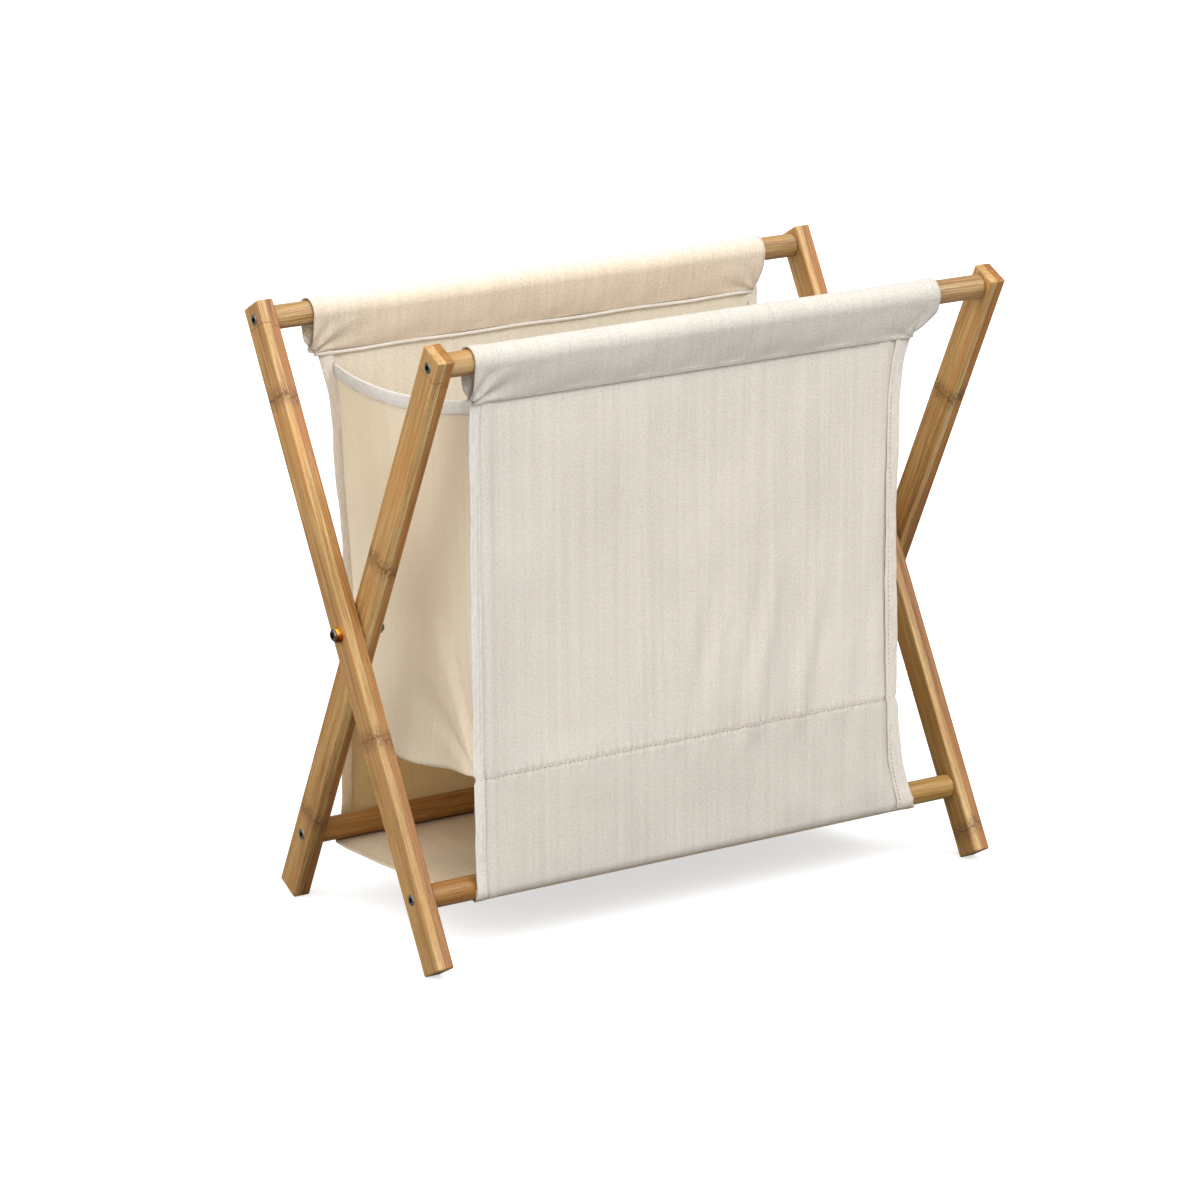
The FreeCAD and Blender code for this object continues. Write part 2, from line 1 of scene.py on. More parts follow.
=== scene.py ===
# %% [markdown]
# # A folding bamboo rack with a canvas pouch
# The rack is two crossed frames of bamboo bars and round rails.  A canvas pouch hangs by a sleeve on each
# upper rail, and a strip of the same cloth runs down from the pouch and under both lower rails.
# The bars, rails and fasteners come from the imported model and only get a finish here.  The cloth in that
# model is flat plate, so every cloth piece is built again below as a thin shaped sheet with its seams,
# tapes and stitches.

# %% Load the fixed frame
import json
import math

import bpy
import bmesh
import numpy as np
from mathutils import Matrix, Vector


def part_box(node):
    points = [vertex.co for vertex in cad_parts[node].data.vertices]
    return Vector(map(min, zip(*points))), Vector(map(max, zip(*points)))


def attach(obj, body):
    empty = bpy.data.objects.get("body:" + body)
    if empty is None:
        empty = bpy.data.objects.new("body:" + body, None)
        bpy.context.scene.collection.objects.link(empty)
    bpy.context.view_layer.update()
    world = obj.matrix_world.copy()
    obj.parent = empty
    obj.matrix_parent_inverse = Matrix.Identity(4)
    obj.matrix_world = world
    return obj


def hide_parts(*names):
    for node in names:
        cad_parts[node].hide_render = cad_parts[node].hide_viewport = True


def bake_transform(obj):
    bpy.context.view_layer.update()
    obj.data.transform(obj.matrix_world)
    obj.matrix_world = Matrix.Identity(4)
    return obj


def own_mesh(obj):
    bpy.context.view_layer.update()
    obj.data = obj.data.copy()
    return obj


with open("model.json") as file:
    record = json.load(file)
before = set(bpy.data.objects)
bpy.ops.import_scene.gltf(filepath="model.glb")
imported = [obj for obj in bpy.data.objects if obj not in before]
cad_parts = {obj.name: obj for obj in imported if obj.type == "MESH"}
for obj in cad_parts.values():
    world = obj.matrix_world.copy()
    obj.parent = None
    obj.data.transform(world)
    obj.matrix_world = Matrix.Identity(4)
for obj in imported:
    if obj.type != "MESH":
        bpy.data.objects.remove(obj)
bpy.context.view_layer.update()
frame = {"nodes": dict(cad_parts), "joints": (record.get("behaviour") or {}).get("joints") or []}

# %% [markdown]
# ## Where things are
# A cloth panel hangs as a straight line from the upper rail's axis down to where it just touches a circle
# round the lower rail.  Everything sewn to it is easiest to place by three numbers: x along the rails, the
# drop down that line, and how far the cloth stands out from it.  One helper turns those into points, for
# the front (side -1) and the back (side +1) alike, so both panels share all their code.

# %% Measure the rails and the hanging line
def axis_of(rail):
    """The (y, z) of a rail's axis, which is the middle of its node's box."""
    low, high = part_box(rail)
    return (low.y + high.y) / 2, (low.z + high.z) / 2


FRONT, BACK = -1, 1
SIDES = {FRONT: "front", BACK: "back"}
HANDS = ("left", "right")
JOINTS = {joint["name"]: joint for joint in frame["joints"]}
PIVOT_Z = JOINTS["frame_fold"]["pos_m"][2]
TOP_Y, TOP_Z = axis_of("back_top_rail")
LOW_Y, LOW_Z = axis_of("back_bottom_rail")
WRAP_RADIUS = 0.0110
SPAN = math.hypot(TOP_Y - LOW_Y, TOP_Z - LOW_Z)
LEAN = math.atan2(TOP_Y - LOW_Y, TOP_Z - LOW_Z) - math.asin(WRAP_RADIUS / SPAN)
DROP_LENGTH = math.sqrt(SPAN**2 - WRAP_RADIUS**2)
SEAM_DROP = 0.0330
FLOOR_DROP = 0.3400
CLOTH = 0.0010
TUCK = math.radians(36.0)       # how far each panel runs on round the lower rail
LIFT = 0.00035                  # how far it stands off there, over the sling's own end


def hang(side, x, drop, out):
    """Points x along the rails, drop down the hanging line and out from it: the upper rail's axis, less
    drop along the line, plus out along the line's outward normal."""
    y = side * (TOP_Y - drop * math.sin(LEAN) + out * math.cos(LEAN))
    z = TOP_Z - drop * math.cos(LEAN) - out * math.sin(LEAN)
    return np.stack(np.broadcast_arrays(x, y, z), -1)


def round_low_rail(side, x, angle, radius):
    """Points round a lower rail: angle is LEAN where the hanging line touches and a quarter turn below."""
    y = side * (LOW_Y + radius * np.cos(angle))
    return np.stack(np.broadcast_arrays(x, y, LOW_Z - radius * np.sin(angle)), -1)


def fall(side, x, drop, out):
    """Points down the hanging line and, past its end, on round the lower rail."""
    past = (drop - DROP_LENGTH) / WRAP_RADIUS
    on_rail = round_low_rail(side, x, LEAN + np.maximum(past, 0), WRAP_RADIUS + out)
    return np.where(np.expand_dims(past, -1) > 0, on_rail, hang(side, x, drop, out))


def through(places, table):
    """A smooth line through (place, value) pairs: a cubic between each two, whose slopes at its ends are
    the mean slopes there."""
    at, value = np.array(table, float).T
    slope = np.gradient(value, at)
    i = np.clip(np.searchsorted(at, places) - 1, 0, len(at) - 2)
    step = at[i + 1] - at[i]
    t = np.clip((places - at[i]) / step, 0, 1)
    ends = (1 + 2 * t) * (1 - t) ** 2 * value[i] + t**2 * (3 - 2 * t) * value[i + 1]
    return ends + t * (1 - t) * step * ((1 - t) * slope[i] - t * slope[i + 1])


def bell(distance, width):
    """1 at no distance, falling off as a smooth bell of that width."""
    return np.exp(-((distance / width) ** 2))


def smooth(value, low, high):
    """0 below low, 1 above high, and a smooth step between them."""
    t = np.clip((value - low) / (high - low), 0, 1)
    return t * t * (3 - 2 * t)


print(f"lean {math.degrees(LEAN):.2f} degrees, hanging length {DROP_LENGTH * 1000:.1f} mm")

# %% [markdown]
# ## Camera
# A long lens from the left and a little above keeps the rails almost parallel.
# A camera's matrix has three columns: its right, its up and the way it looks back along.  Building those
# from an azimuth, an elevation and a small roll needs no tracking constraint.

# %% Make the camera
AZIMUTH, ELEVATION, ROLL = math.radians(-32.601), math.radians(14.748), math.radians(-1.035)
back = Vector((
    math.sin(AZIMUTH) * math.cos(ELEVATION),
    -math.cos(AZIMUTH) * math.cos(ELEVATION),
    math.sin(ELEVATION),
))
level_right = (-back).cross(Vector((0, 0, 1))).normalized()
level_up = level_right.cross(-back)
right = level_right * math.cos(ROLL) + level_up * math.sin(ROLL)
up = level_up * math.cos(ROLL) - level_right * math.sin(ROLL)

camera_data = bpy.data.cameras.new("camera")
camera_data.lens = 147.65
camera_data.sensor_width = 36.0
camera_data.clip_end = 100.0
camera = bpy.data.objects.new("camera", camera_data)
camera.matrix_world = Matrix.Translation((-2.148716, -3.309508, 1.278904)) @ Matrix(
    (right, up, back)).transposed().to_4x4()
bpy.context.scene.collection.objects.link(camera)
bpy.context.scene.camera = camera
bpy.context.scene.view_settings.view_transform = "Standard"
print("camera at", [round(c, 3) for c in camera.location])

# %% [markdown]
# ## Floor and light
# Canvas shows its folds only when light reaches it at a slant, so two broad soft suns stand about 40
# degrees high, one in front on the right and a very broad one on the left, and a faint sky fills the rest.
# Suns light a wide floor evenly, which lamps near the rack would not.  A pale floor would also throw much
# light up under the rails, so it only looks pale to the camera and is darker to every other ray.

# %% Lay the floor and set the suns
floor_mesh = bpy.data.meshes.new("studio_floor")
floor_mesh.from_pydata([(-40, -40, 0), (40, -40, 0), (40, 40, 0), (-40, 40, 0)], [], [(0, 1, 2, 3)])
studio_floor = bpy.data.objects.new("studio_floor", floor_mesh)
bpy.context.scene.collection.objects.link(studio_floor)

world = bpy.data.worlds.new("studio_sky")
world.use_nodes = True
world.node_tree.nodes["Background"].inputs["Color"].default_value = (0.985, 0.995, 1.0, 1)
world.node_tree.nodes["Background"].inputs["Strength"].default_value = 0.42
bpy.context.scene.world = world


def sun(name, azimuth, elevation, breadth, power, colour):
    """A soft sun: azimuth is measured from the front towards +X, and all angles are in degrees."""
    data = bpy.data.lights.new(name, "SUN")
    data.energy, data.angle, data.color = power, math.radians(breadth), colour
    holder = bpy.data.objects.new(name, data)
    a, e = math.radians(azimuth), math.radians(elevation)
    towards = Vector((math.sin(a) * math.cos(e), -math.cos(a) * math.cos(e), math.sin(e)))
    holder.rotation_euler = towards.to_track_quat("Z", "Y").to_euler()
    bpy.context.scene.collection.objects.link(holder)


sun("key_sun", 28, 47, 36, 1.66, (0.98, 0.99, 1.0))
sun("left_sun", -74, 38, 120, 3.55, (1.0, 0.985, 0.955))

# %% [markdown]
# ## A short way to write materials
# Every finish below is a tree of nodes.  Written out in full each node takes three or four lines, which
# hides the idea.  This class keeps the tree and gives one short call for each kind of node, where a value
# may be a number or another node's output.

# %% Write the node helper
class Finish:
    """A material with a Principled shader, and short calls that add nodes to its tree."""

    def __init__(self, name):
        self.material = bpy.data.materials.new(name)
        self.material.use_nodes = True
        self.tree = self.material.node_tree
        self.shader = self.tree.nodes["Principled BSDF"]

    def put(self, socket, value):
        if isinstance(value, bpy.types.NodeSocket):
            self.tree.links.new(value, socket)
        elif value is not None:
            socket.default_value = value

    def node(self, kind, values=(), **settings):
        made = self.tree.nodes.new("ShaderNode" + kind)
        for key, value in settings.items():
            setattr(made, key, value)
        for key, value in dict(values).items():
            self.put(made.inputs[key], value)
        return made

    def maths(self, operation, *values):
        return self.node("Math", enumerate(values), operation=operation).outputs[0]

    def step(self, value, low, high):
        """0 at low and 1 at high with a smooth step between, or the other way if low is the larger."""
        values = {"Value": value, "From Min": low, "From Max": high}
        return self.node("MapRange", values, interpolation_type="SMOOTHSTEP").outputs[0]

    def scaled(self, vector, scale):
        return self.node("VectorMath", enumerate((vector, scale)), operation="MULTIPLY").outputs[0]

    def noise(self, vector, scale, detail=2.0):
        """Noise with its own scale along each axis, in repeats to a metre."""
        values = {"Vector": self.scaled(vector, scale), "Scale": 1.0, "Detail": detail}
        return self.node("TexNoise", values).outputs[0]

    def mix(self, share, first, second, how="MIX"):
        values = {0: share, 6: first, 7: second}
        return self.node("Mix", values, data_type="RGBA", blend_type=how).outputs[2]

    def ramp(self, value, *stops):
        made = self.node("ValToRGB", {0: value})
        while len(made.color_ramp.elements) < len(stops):
            made.color_ramp.elements.new(0.5)
        for element, (place, colour) in zip(made.color_ramp.elements, stops):
            element.position, element.color = place, (*colour, 1)
        return made.outputs[0]

    def bump(self, height, distance, strength=1.0):
        values = {"Height": height, "Distance": distance, "Strength": strength}
        self.put(self.shader.inputs["Normal"], self.node("Bump", values).outputs[0])

    def set(self, **values):
        """Sets the shader's own sockets; an underscore stands for a space."""
        for key, value in values.items():
            self.put(self.shader.inputs[key.replace("_", " ")], value)


def plain(colour):
    return (*colour, 1.0)


floor_finish = Finish("studio_floor")
grain = floor_finish.noise(floor_finish.node("TexCoord").outputs["Object"], (3, 3, 3))
seen = floor_finish.node("LightPath").outputs["Is Camera Ray"]
pale = floor_finish.mix(grain, plain((0.66,) * 3), plain((0.68,) * 3))
floor_finish.set(Base_Color=floor_finish.mix(seen, plain((0.24, 0.235, 0.23)), pale), Roughness=0.9)
floor_finish.set(Emission_Color=plain((1.0, 1.0, 1.0)))
floor_finish.set(Emission_Strength=floor_finish.maths("MULTIPLY", seen, 0.58))
floor_mesh.materials.append(floor_finish.material)
print("floor finish:", len(floor_finish.tree.nodes), "nodes")

# %% [markdown]
# ## Bamboo
# Bamboo strip is split from the wall of the stem, planed and glued in plies.  Along it run fine straight
# fibres, and every 20 to 30 cm a joint of the stem crosses it as a thin brown line with freckled wood each
# side.  An image of wood could be wrapped round the bar, but fibres that follow each bar's own length
# need only stretched noise in coordinates turned to lie along that bar.  The bars of one frame lean one
# way, and the round rails lie level, so each gets its own turn.  Light and shade are painted in too: a tint
# along each bar darkens the legs towards the floor and the lower rails with painted shade and makes the
# upper rails bluer with painted light, and the broad faces of the bars are darkened with painted shade.

# %% Mix the bamboo finishes
WOOD_DARK, WOOD_MID, WOOD_LIGHT = (0.245, 0.108, 0.022), (0.480, 0.282, 0.096), (0.640, 0.440, 0.198)
JOINT_BROWN = plain((0.150, 0.062, 0.016))
HALF_PLY = 0.0075       # from a bar's face to its glue line
BROAD_EDGE = 0.0073     # past this far from the glue line a point is on a bar's broad face
PALE_EDGE = 0.0064      # up to this far from it, the narrow face has its full two tones


def bamboo(name, turn, centre, joints, cuts, painted_shading, ply=None):
    """Fibres along the local z axis of a frame turned by turn about centre.  joints are the heights of
    the stem's joints there, cuts those of fine dark lines, painted_shading the (height, tint) of the low
    and the high end, a painted light and shade along the bar, and ply the (place, thickness) of the glued
    plies."""
    f = Finish(name)
    place = {"Vector": f.node("TexCoord").outputs["Object"], "Location": centre, "Rotation": turn}
    local = f.node("Mapping", place, vector_type="TEXTURE").outputs[0]
    x, _, along = f.node("SeparateXYZ", {0: local}).outputs
    fine = f.noise(local, (1500, 1500, 30), 3.0)
    broad = f.noise(local, (260, 260, 5.5))
    wide = f.noise(local, (45, 45, 4.5), 3.0)
    tone = f.maths("ADD", f.maths("MULTIPLY", fine, 0.42), f.maths("MULTIPLY", broad, 0.30))
    tone = f.maths("ADD", tone, f.maths("MULTIPLY", wide, 0.28))
    colour = f.ramp(tone, (0.38, WOOD_DARK), (0.50, WOOD_MID), (0.62, WOOD_LIGHT))
    dashes = f.step(f.noise(local, (1700, 1700, 130), 1.0), 0.60, 0.72)
    colour = f.mix(f.maths("MULTIPLY", dashes, 0.46), colour, JOINT_BROWN)
    amber = f.step(f.noise(local, (60, 60, 9), 1.0), 0.48, 0.70)
    colour = f.mix(f.maths("MULTIPLY", amber, 0.50), colour, plain((0.50, 0.235, 0.055)))
    # painted light and shade: a tint from the bar's low end to its high end
    (low, low_tint), (high, high_tint) = painted_shading
    painted_shading_tint = f.mix(f.step(along, low, high), plain(low_tint), plain(high_tint))
    colour = f.mix(1.0, colour, painted_shading_tint, "MULTIPLY")
    if ply:
        depth = f.maths("MODULO", f.maths("SUBTRACT", f.maths("ABSOLUTE", x), ply[0]), ply[1])
        outer = f.step(depth, HALF_PLY - 0.0002, HALF_PLY + 0.0002)
        paler = f.maths("ABSOLUTE", f.maths("SUBTRACT", outer, f.maths("GREATER_THAN", x, 0.0)))
        from_glue = f.maths("ABSOLUTE", f.maths("SUBTRACT", depth, HALF_PLY))
        paler = f.maths("MULTIPLY", paler, f.step(from_glue, BROAD_EDGE, PALE_EDGE))
        tinted = f.mix(paler, plain((0.77, 0.60, 0.44)), plain((1.12, 1.20, 1.36)))
        # painted shade: the broad faces are darkened, so the bars' sides stay darker than their narrow
        # faces
        broad_face_shade = f.step(from_glue, BROAD_EDGE - 0.0004, BROAD_EDGE)
        tinted = f.mix(broad_face_shade, tinted, plain((0.90, 0.875, 0.82)))
        colour = f.mix(1.0, colour, tinted, "MULTIPLY")
        glue = f.step(from_glue, 0.0007, 0.0001)
        colour = f.mix(f.maths("MULTIPLY", glue, 0.5), colour, JOINT_BROWN)
        along = f.maths("MULTIPLY_ADD", outer, -0.004, along)
    wavy = f.maths("MULTIPLY_ADD", f.noise(local, (260, 260, 1)), 0.010, along)
    gaps = [f.maths("ABSOLUTE", f.maths("SUBTRACT", wavy, height + 0.005)) for height in joints]
    gap = gaps[0]
    for other in gaps[1:]:
        gap = f.maths("MINIMUM", gap, other)
    freckles = f.step(f.noise(local, (900, 900, 300)), 0.46, 0.60)
    halo = f.maths("MULTIPLY", f.step(gap, 0.013, 0.002), f.maths("MULTIPLY_ADD", freckles, 0.60, 0.26))
    colour = f.mix(halo, colour, JOINT_BROWN)
    line = f.step(gap, 0.0012, 0.0003)
    for height in cuts:
        near = f.maths("ABSOLUTE", f.maths("SUBTRACT", along, height))
        line = f.maths("MAXIMUM", line, f.maths("MULTIPLY", f.step(near, 0.0007, 0.0002), 0.8))
    colour = f.mix(f.maths("MULTIPLY", line, 0.72), colour, JOINT_BROWN)
    height = f.maths("SUBTRACT", f.maths("MULTIPLY", fine, 0.6), line)
    f.bump(height, 0.00025, 0.7)
    f.set(Base_Color=colour, Roughness=f.maths("MULTIPLY_ADD", fine, 0.22, 0.38))
    f.set(Coat_Weight=0.12, Coat_Roughness=0.35)
    return f.material


HALF_ANGLE = math.atan2(TOP_Y, TOP_Z - PIVOT_Z)
PIVOT = (0.0, 0.0, PIVOT_Z)
inner_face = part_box("right_inner_leg")[0].x
LEG_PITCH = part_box("right_outer_leg")[0].x - inner_face
leg_ply = (inner_face, LEG_PITCH)
# painted shade on the legs: darker and warmer towards the foot, a little lighter at the top
LEG_PAINTED_SHADING = ((-0.24, (0.84, 0.79, 0.70)), (0.16, (1.04, 1.00, 0.95)))
LEGS = {
    "left_inner_leg": (HALF_ANGLE, (0.069, -0.201), (0.2555,)),
    "left_outer_leg": (-HALF_ANGLE, (0.195, -0.093), (0.2555,)),
    "right_inner_leg": (-HALF_ANGLE, (0.020, -0.262), ()),
    "right_outer_leg": (HALF_ANGLE, (0.155, -0.110), ()),
}
leg_finishes = {
    leg: bamboo("bamboo_" + leg, (turn, 0, 0), PIVOT, joints, cuts, LEG_PAINTED_SHADING, leg_ply)
    for leg, (turn, joints, cuts) in LEGS.items()
}
QUARTER = math.pi / 2
# painted shade: the lower rails are darker and more orange than the upper ones, most of all at the left end
rail_low = bamboo("bamboo_rail_low", (0, QUARTER, 0), (0, 0, LOW_Z), (-0.06, 0.19), (),
                  ((-0.22, (0.62, 0.47, 0.27)), (0.22, (0.74, 0.72, 0.56))))
# painted light: the upper rails get a bluer, less saturated tint
rail_top = bamboo("bamboo_rail_top", (0, QUARTER, 0), (0, 0, TOP_Z), (-0.11, 0.14), (),
                  ((-0.22, (0.97, 1.00, 1.15)), (0.22, (0.88, 0.92, 1.12))))
print("leg pitch", round(LEG_PITCH * 1000, 1), "mm; half angle", round(math.degrees(HALF_ANGLE), 2))

# %% [markdown]
# ## Fasteners
# Each rail is held by a zinc-plated socket screw, and the frames turn on a bolt with a collar under its
# head.  The bolt and the collar are yellow-plated, and a painted reflection makes them an uneven gold above
# and dark red below.  The hexagon sockets are painted almost black, a painted shade for their depth.
# Everything here lies along x, so the distance from a screw's axis tells the socket from the rim: a darker
# colour inside that radius is enough.

# %% Mix the metal and nylon finishes
def metal(name, colour, roughness, axis=None, socket=0.0):
    """Brushed metal: noise stretched round the part, and a socket darkened with painted shade within that
    radius of axis, a (y, z) place that is mirrored in y."""
    f = Finish(name)
    spot = f.node("TexCoord").outputs["Object"]
    scratches = f.noise(spot, (2500, 400, 400), 3.0)
    stain = f.noise(spot, (260, 260, 260))
    dull = plain([0.62 * c for c in colour])
    shade = f.mix(f.step(stain, 0.35, 0.75), plain(colour), dull)
    if axis:
        _, y, z = f.node("SeparateXYZ", {0: spot}).outputs
        across = f.maths("SUBTRACT", f.maths("ABSOLUTE", y), axis[0])
        rise = f.maths("SUBTRACT", z, axis[1])
        squares = f.maths("ADD", f.maths("POWER", across, 2.0), f.maths("POWER", rise, 2.0))
        # painted shade: inside the socket's radius the colour is almost black, for its depth
        inside = f.step(f.maths("SQRT", squares), socket * 1.15, socket * 0.95)
        shade = f.mix(inside, shade, plain((0.012, 0.014, 0.013)))
    f.bump(scratches, 0.00005, 0.5)
    f.set(Base_Color=shade, Metallic=1.0)
    f.set(Roughness=f.maths("MULTIPLY_ADD", scratches, 0.2, roughness))
    return f.material


BOLT_END = 0.2845       # the pivot bolts' end faces stand at least this far from the middle


def yellow_zinc_painted_reflection(name):
    """Yellow-plated steel with a painted reflection from gold above to dark red below, a dark end face,
    and a recess painted black as painted shade.
    """
    f = Finish(name)
    spot = f.node("TexCoord").outputs["Object"]
    x, y, z = f.node("SeparateXYZ", {0: spot}).outputs
    wander = f.maths("MULTIPLY_ADD", f.noise(spot, (260, 260, 260)), 0.006, z)
    # painted reflection: by height, gold above the pivot and dark red below it
    rise = f.maths("MULTIPLY_ADD", f.maths("SUBTRACT", wander, PIVOT_Z), 80.0, 0.25)
    dark_red, copper, gold = (0.14, 0.018, 0.012), (0.62, 0.16, 0.035), (1.0, 0.62, 0.16)
    shade = f.ramp(rise, (0.15, dark_red), (0.45, copper), (0.75, gold))
    end = f.step(f.maths("ABSOLUTE", x), BOLT_END - 0.0003, BOLT_END + 0.0003)
    steel = f.mix(f.noise(spot, (500, 500, 500)), plain((0.03, 0.03, 0.03)), plain((0.30, 0.30, 0.27)))
    # painted shade: the recess in the bolt's end is painted black
    above = f.maths("SUBTRACT", z, PIVOT_Z)
    squares = f.maths("ADD", f.maths("POWER", y, 2.0), f.maths("POWER", above, 2.0))
    recess = f.step(f.maths("SQRT", squares), 0.0030, 0.0025)
    steel = f.mix(recess, steel, plain((0.008, 0.008, 0.008)))
    f.bump(f.noise(spot, (900, 900, 900)), 0.00005, 0.5)
    f.set(Base_Color=f.mix(end, shade, steel), Metallic=1.0, Roughness=0.20)
    return f.material


def nylon():
    """Milky plastic with a faint mottle."""
    f = Finish("nylon_ring")
    mottle = f.noise(f.node("TexCoord").outputs["Object"], (300, 300, 300))
    f.set(Base_Color=f.mix(mottle, plain((0.66, 0.64, 0.58)), plain((0.78, 0.76, 0.70))), Roughness=0.5)
    f.bump(mottle, 0.0001, 0.3)
    return f.material


ZINC = (0.20, 0.24, 0.22)
top_screw = metal("zinc_top_screw", ZINC, 0.34, (TOP_Y, TOP_Z), 0.0021)
low_screw = metal("zinc_low_screw", ZINC, 0.34, (LOW_Y, LOW_Z), 0.0021)
pivot_bolt = yellow_zinc_painted_reflection("pivot_bolt_painted_reflection")
plain_zinc = metal("zinc_washer", ZINC, 0.34)
collar_finish = yellow_zinc_painted_reflection("collar_painted_reflection")
nylon_ring = nylon()
metals = (top_screw, low_screw, pivot_bolt, plain_zinc, collar_finish)
print("metal finishes:", [finish.name for finish in metals])

# %% Give the carried-over pieces their finishes
def dress(node, material):
    """Puts one material in every slot of a carried-over node."""
    data = frame["nodes"][node].data
    data.materials.clear()
    data.materials.append(material)


def finish_for(node):
    """The finish of a hard node, by the words in its name, or None for cloth."""
    if node.endswith("_leg"):
        return leg_finishes[node]
    if node.endswith("_rail"):
        return rail_top if "top" in node else rail_low
    if node.endswith("_screw"):
        return top_screw if "top" in node else low_screw
    words = {"bolt": pivot_bolt, "nut": plain_zinc, "inner_washer": plain_zinc, "collar": collar_finish,
             "spacer_washer": nylon_ring}
    return next((finish for word, finish in words.items() if node.endswith(word)), None)


hard = {node: finish_for(node) for node in frame["nodes"]}
for node, finish in hard.items():
    if finish:
        dress(node, finish)
print("finished nodes:", sum(1 for finish in hard.values() if finish), "of", len(hard))

# %% [markdown]
# ## Canvas, tape and thread
# The pouch is unbleached cotton canvas: a plain weave of uneven yarn, with thick places (slubs), pale
# streaks along the warp and a few seed flecks, and a painted shade in the hollows of the weave.  Each sheet
# carries a UV map in metres of flat cloth, so the yarns follow the cloth round rails and into corners.
# Light comes through cotton, which makes the inside of the pouch glow warm, so the surface shader is mixed
# with a translucent one.  Below the pouch floor, and on back pieces where they face the front, warm light
# and shade
# are painted in with two tints: one goes by the place on the UV map, and the other by which way the face
# points on the piece itself.  The sleeve and sling canvases are darker copies of the same cloth with
# painted shade, and the back canvas a warmer one and the end canvas a lighter one, both with painted light.

# %% Mix the cloth finishes
YARN = 0.00085          # from one yarn to the next
TURN = 2 * math.pi


def canvas(name, colour, glow, through_share, below_tint=None, painted_inside_shading=None):
    """Plain weave: the product of two waves, one along each yarn direction, with noise for uneven yarn, and
    a painted shade in its hollows.  Past the floor seam the cloth takes below_tint, on the back a painted
    shade under the pouch floor.  Faces towards -y take the inside tint, painted warm light and shade inside
    the pouch, past that seam where there is a below_tint and everywhere else."""
    f = Finish(name)
    flat = f.node("UVMap", uv_map="flat_cloth").outputs[0]
    wander = f.noise(flat, (240, 240, 0))
    u, v, _ = f.node("SeparateXYZ", {0: flat}).outputs
    waves = [
        f.maths("SINE", f.maths("MULTIPLY_ADD", wander, 2.4, f.maths("MULTIPLY", part, TURN / YARN / 2)))
        for part in (u, v)
    ]
    weave = f.maths("MULTIPLY_ADD", f.maths("MULTIPLY", *waves), 0.5, 0.5)
    warp = f.step(f.noise(flat, (1100, 60, 0)), 0.55, 0.74)
    weft = f.step(f.noise(flat, (60, 1100, 0)), 0.57, 0.76)
    slubs = f.maths("MAXIMUM", warp, weft)
    knots = f.step(f.noise(flat, (460, 300, 0), 0.0), 0.70, 0.82)
    streak = f.noise(flat, (210, 3.0, 0), 3.0)
    cloud = f.noise(flat, (11, 11, 0))
    mottle = f.noise(flat, (520, 520, 0), 3.0)
    tone = f.maths("MULTIPLY_ADD", streak, 0.28, f.maths("MULTIPLY", cloud, 0.20))
    tone = f.maths("MULTIPLY_ADD", mottle, 0.52, tone)
    low, high = [0.84 * c for c in colour], [min(0.97, 1.11 * c) for c in colour]
    shade = f.ramp(tone, (0.38, low), (0.60, high))
    shade = f.mix(f.maths("MULTIPLY", slubs, 0.35), shade, plain([min(0.96, 1.16 * c) for c in colour]))
    shade = f.mix(f.maths("MULTIPLY", knots, 0.6), shade, plain((0.95, 0.93, 0.89)))
    # painted shade: the hollows of the weave are darkened
    shade = f.mix(f.maths("MULTIPLY_ADD", weave, -0.12, 0.12), shade, plain([0.66 * c for c in colour]))
    flecks = f.step(f.noise(flat, (330, 330, 0), 0.0), 0.86, 0.90)
    shade = f.mix(f.maths("MULTIPLY", flecks, 0.4), shade, plain((0.46, 0.37, 0.25)))
    # below the floor seam a tint: a painted shade under the pouch floor on the back, a slight darkening on
    # the front
    if below_tint:
        past = f.step(f.maths("MULTIPLY_ADD", mottle, 0.003, v), FLOOR_DROP + 0.001, FLOOR_DROP + 0.003)
        shade = f.mix(past, shade, f.mix(1.0, shade, plain(below_tint), "MULTIPLY"))
    # painted warm light and shade on the faces towards -y, inside the pouch
    if painted_inside_shading:
        facing = f.node("VectorTransform", {0: f.node("NewGeometry").outputs["Normal"]},
                        vector_type="NORMAL", convert_from="WORLD", convert_to="OBJECT").outputs[0]
        inside = f.step(f.node("SeparateXYZ", {0: facing}).outputs[1], -0.35, -0.95)
        if below_tint:
            inside = f.maths("MULTIPLY", inside, past)
        shade = f.mix(inside, shade, f.mix(1.0, shade, plain(painted_inside_shading), "MULTIPLY"))
    relief = f.maths("MULTIPLY_ADD", slubs, 0.8, f.maths("MULTIPLY_ADD", mottle, 1.3, weave))
    relief = f.maths("MULTIPLY_ADD", knots, 1.5, relief)
    f.bump(relief, 0.00022, 0.8)
    f.set(Base_Color=shade, Roughness=0.88, Sheen_Weight=0.12, Sheen_Roughness=0.5, Specular_IOR_Level=0.2)
    lit = f.node("BsdfTranslucent", {"Color": plain(glow)})
    both = f.node("MixShader", {0: through_share, 1: f.shader.outputs[0], 2: lit.outputs[0]})
    f.put(f.tree.nodes["Material Output"].inputs["Surface"], both.outputs[0])
    return f.material


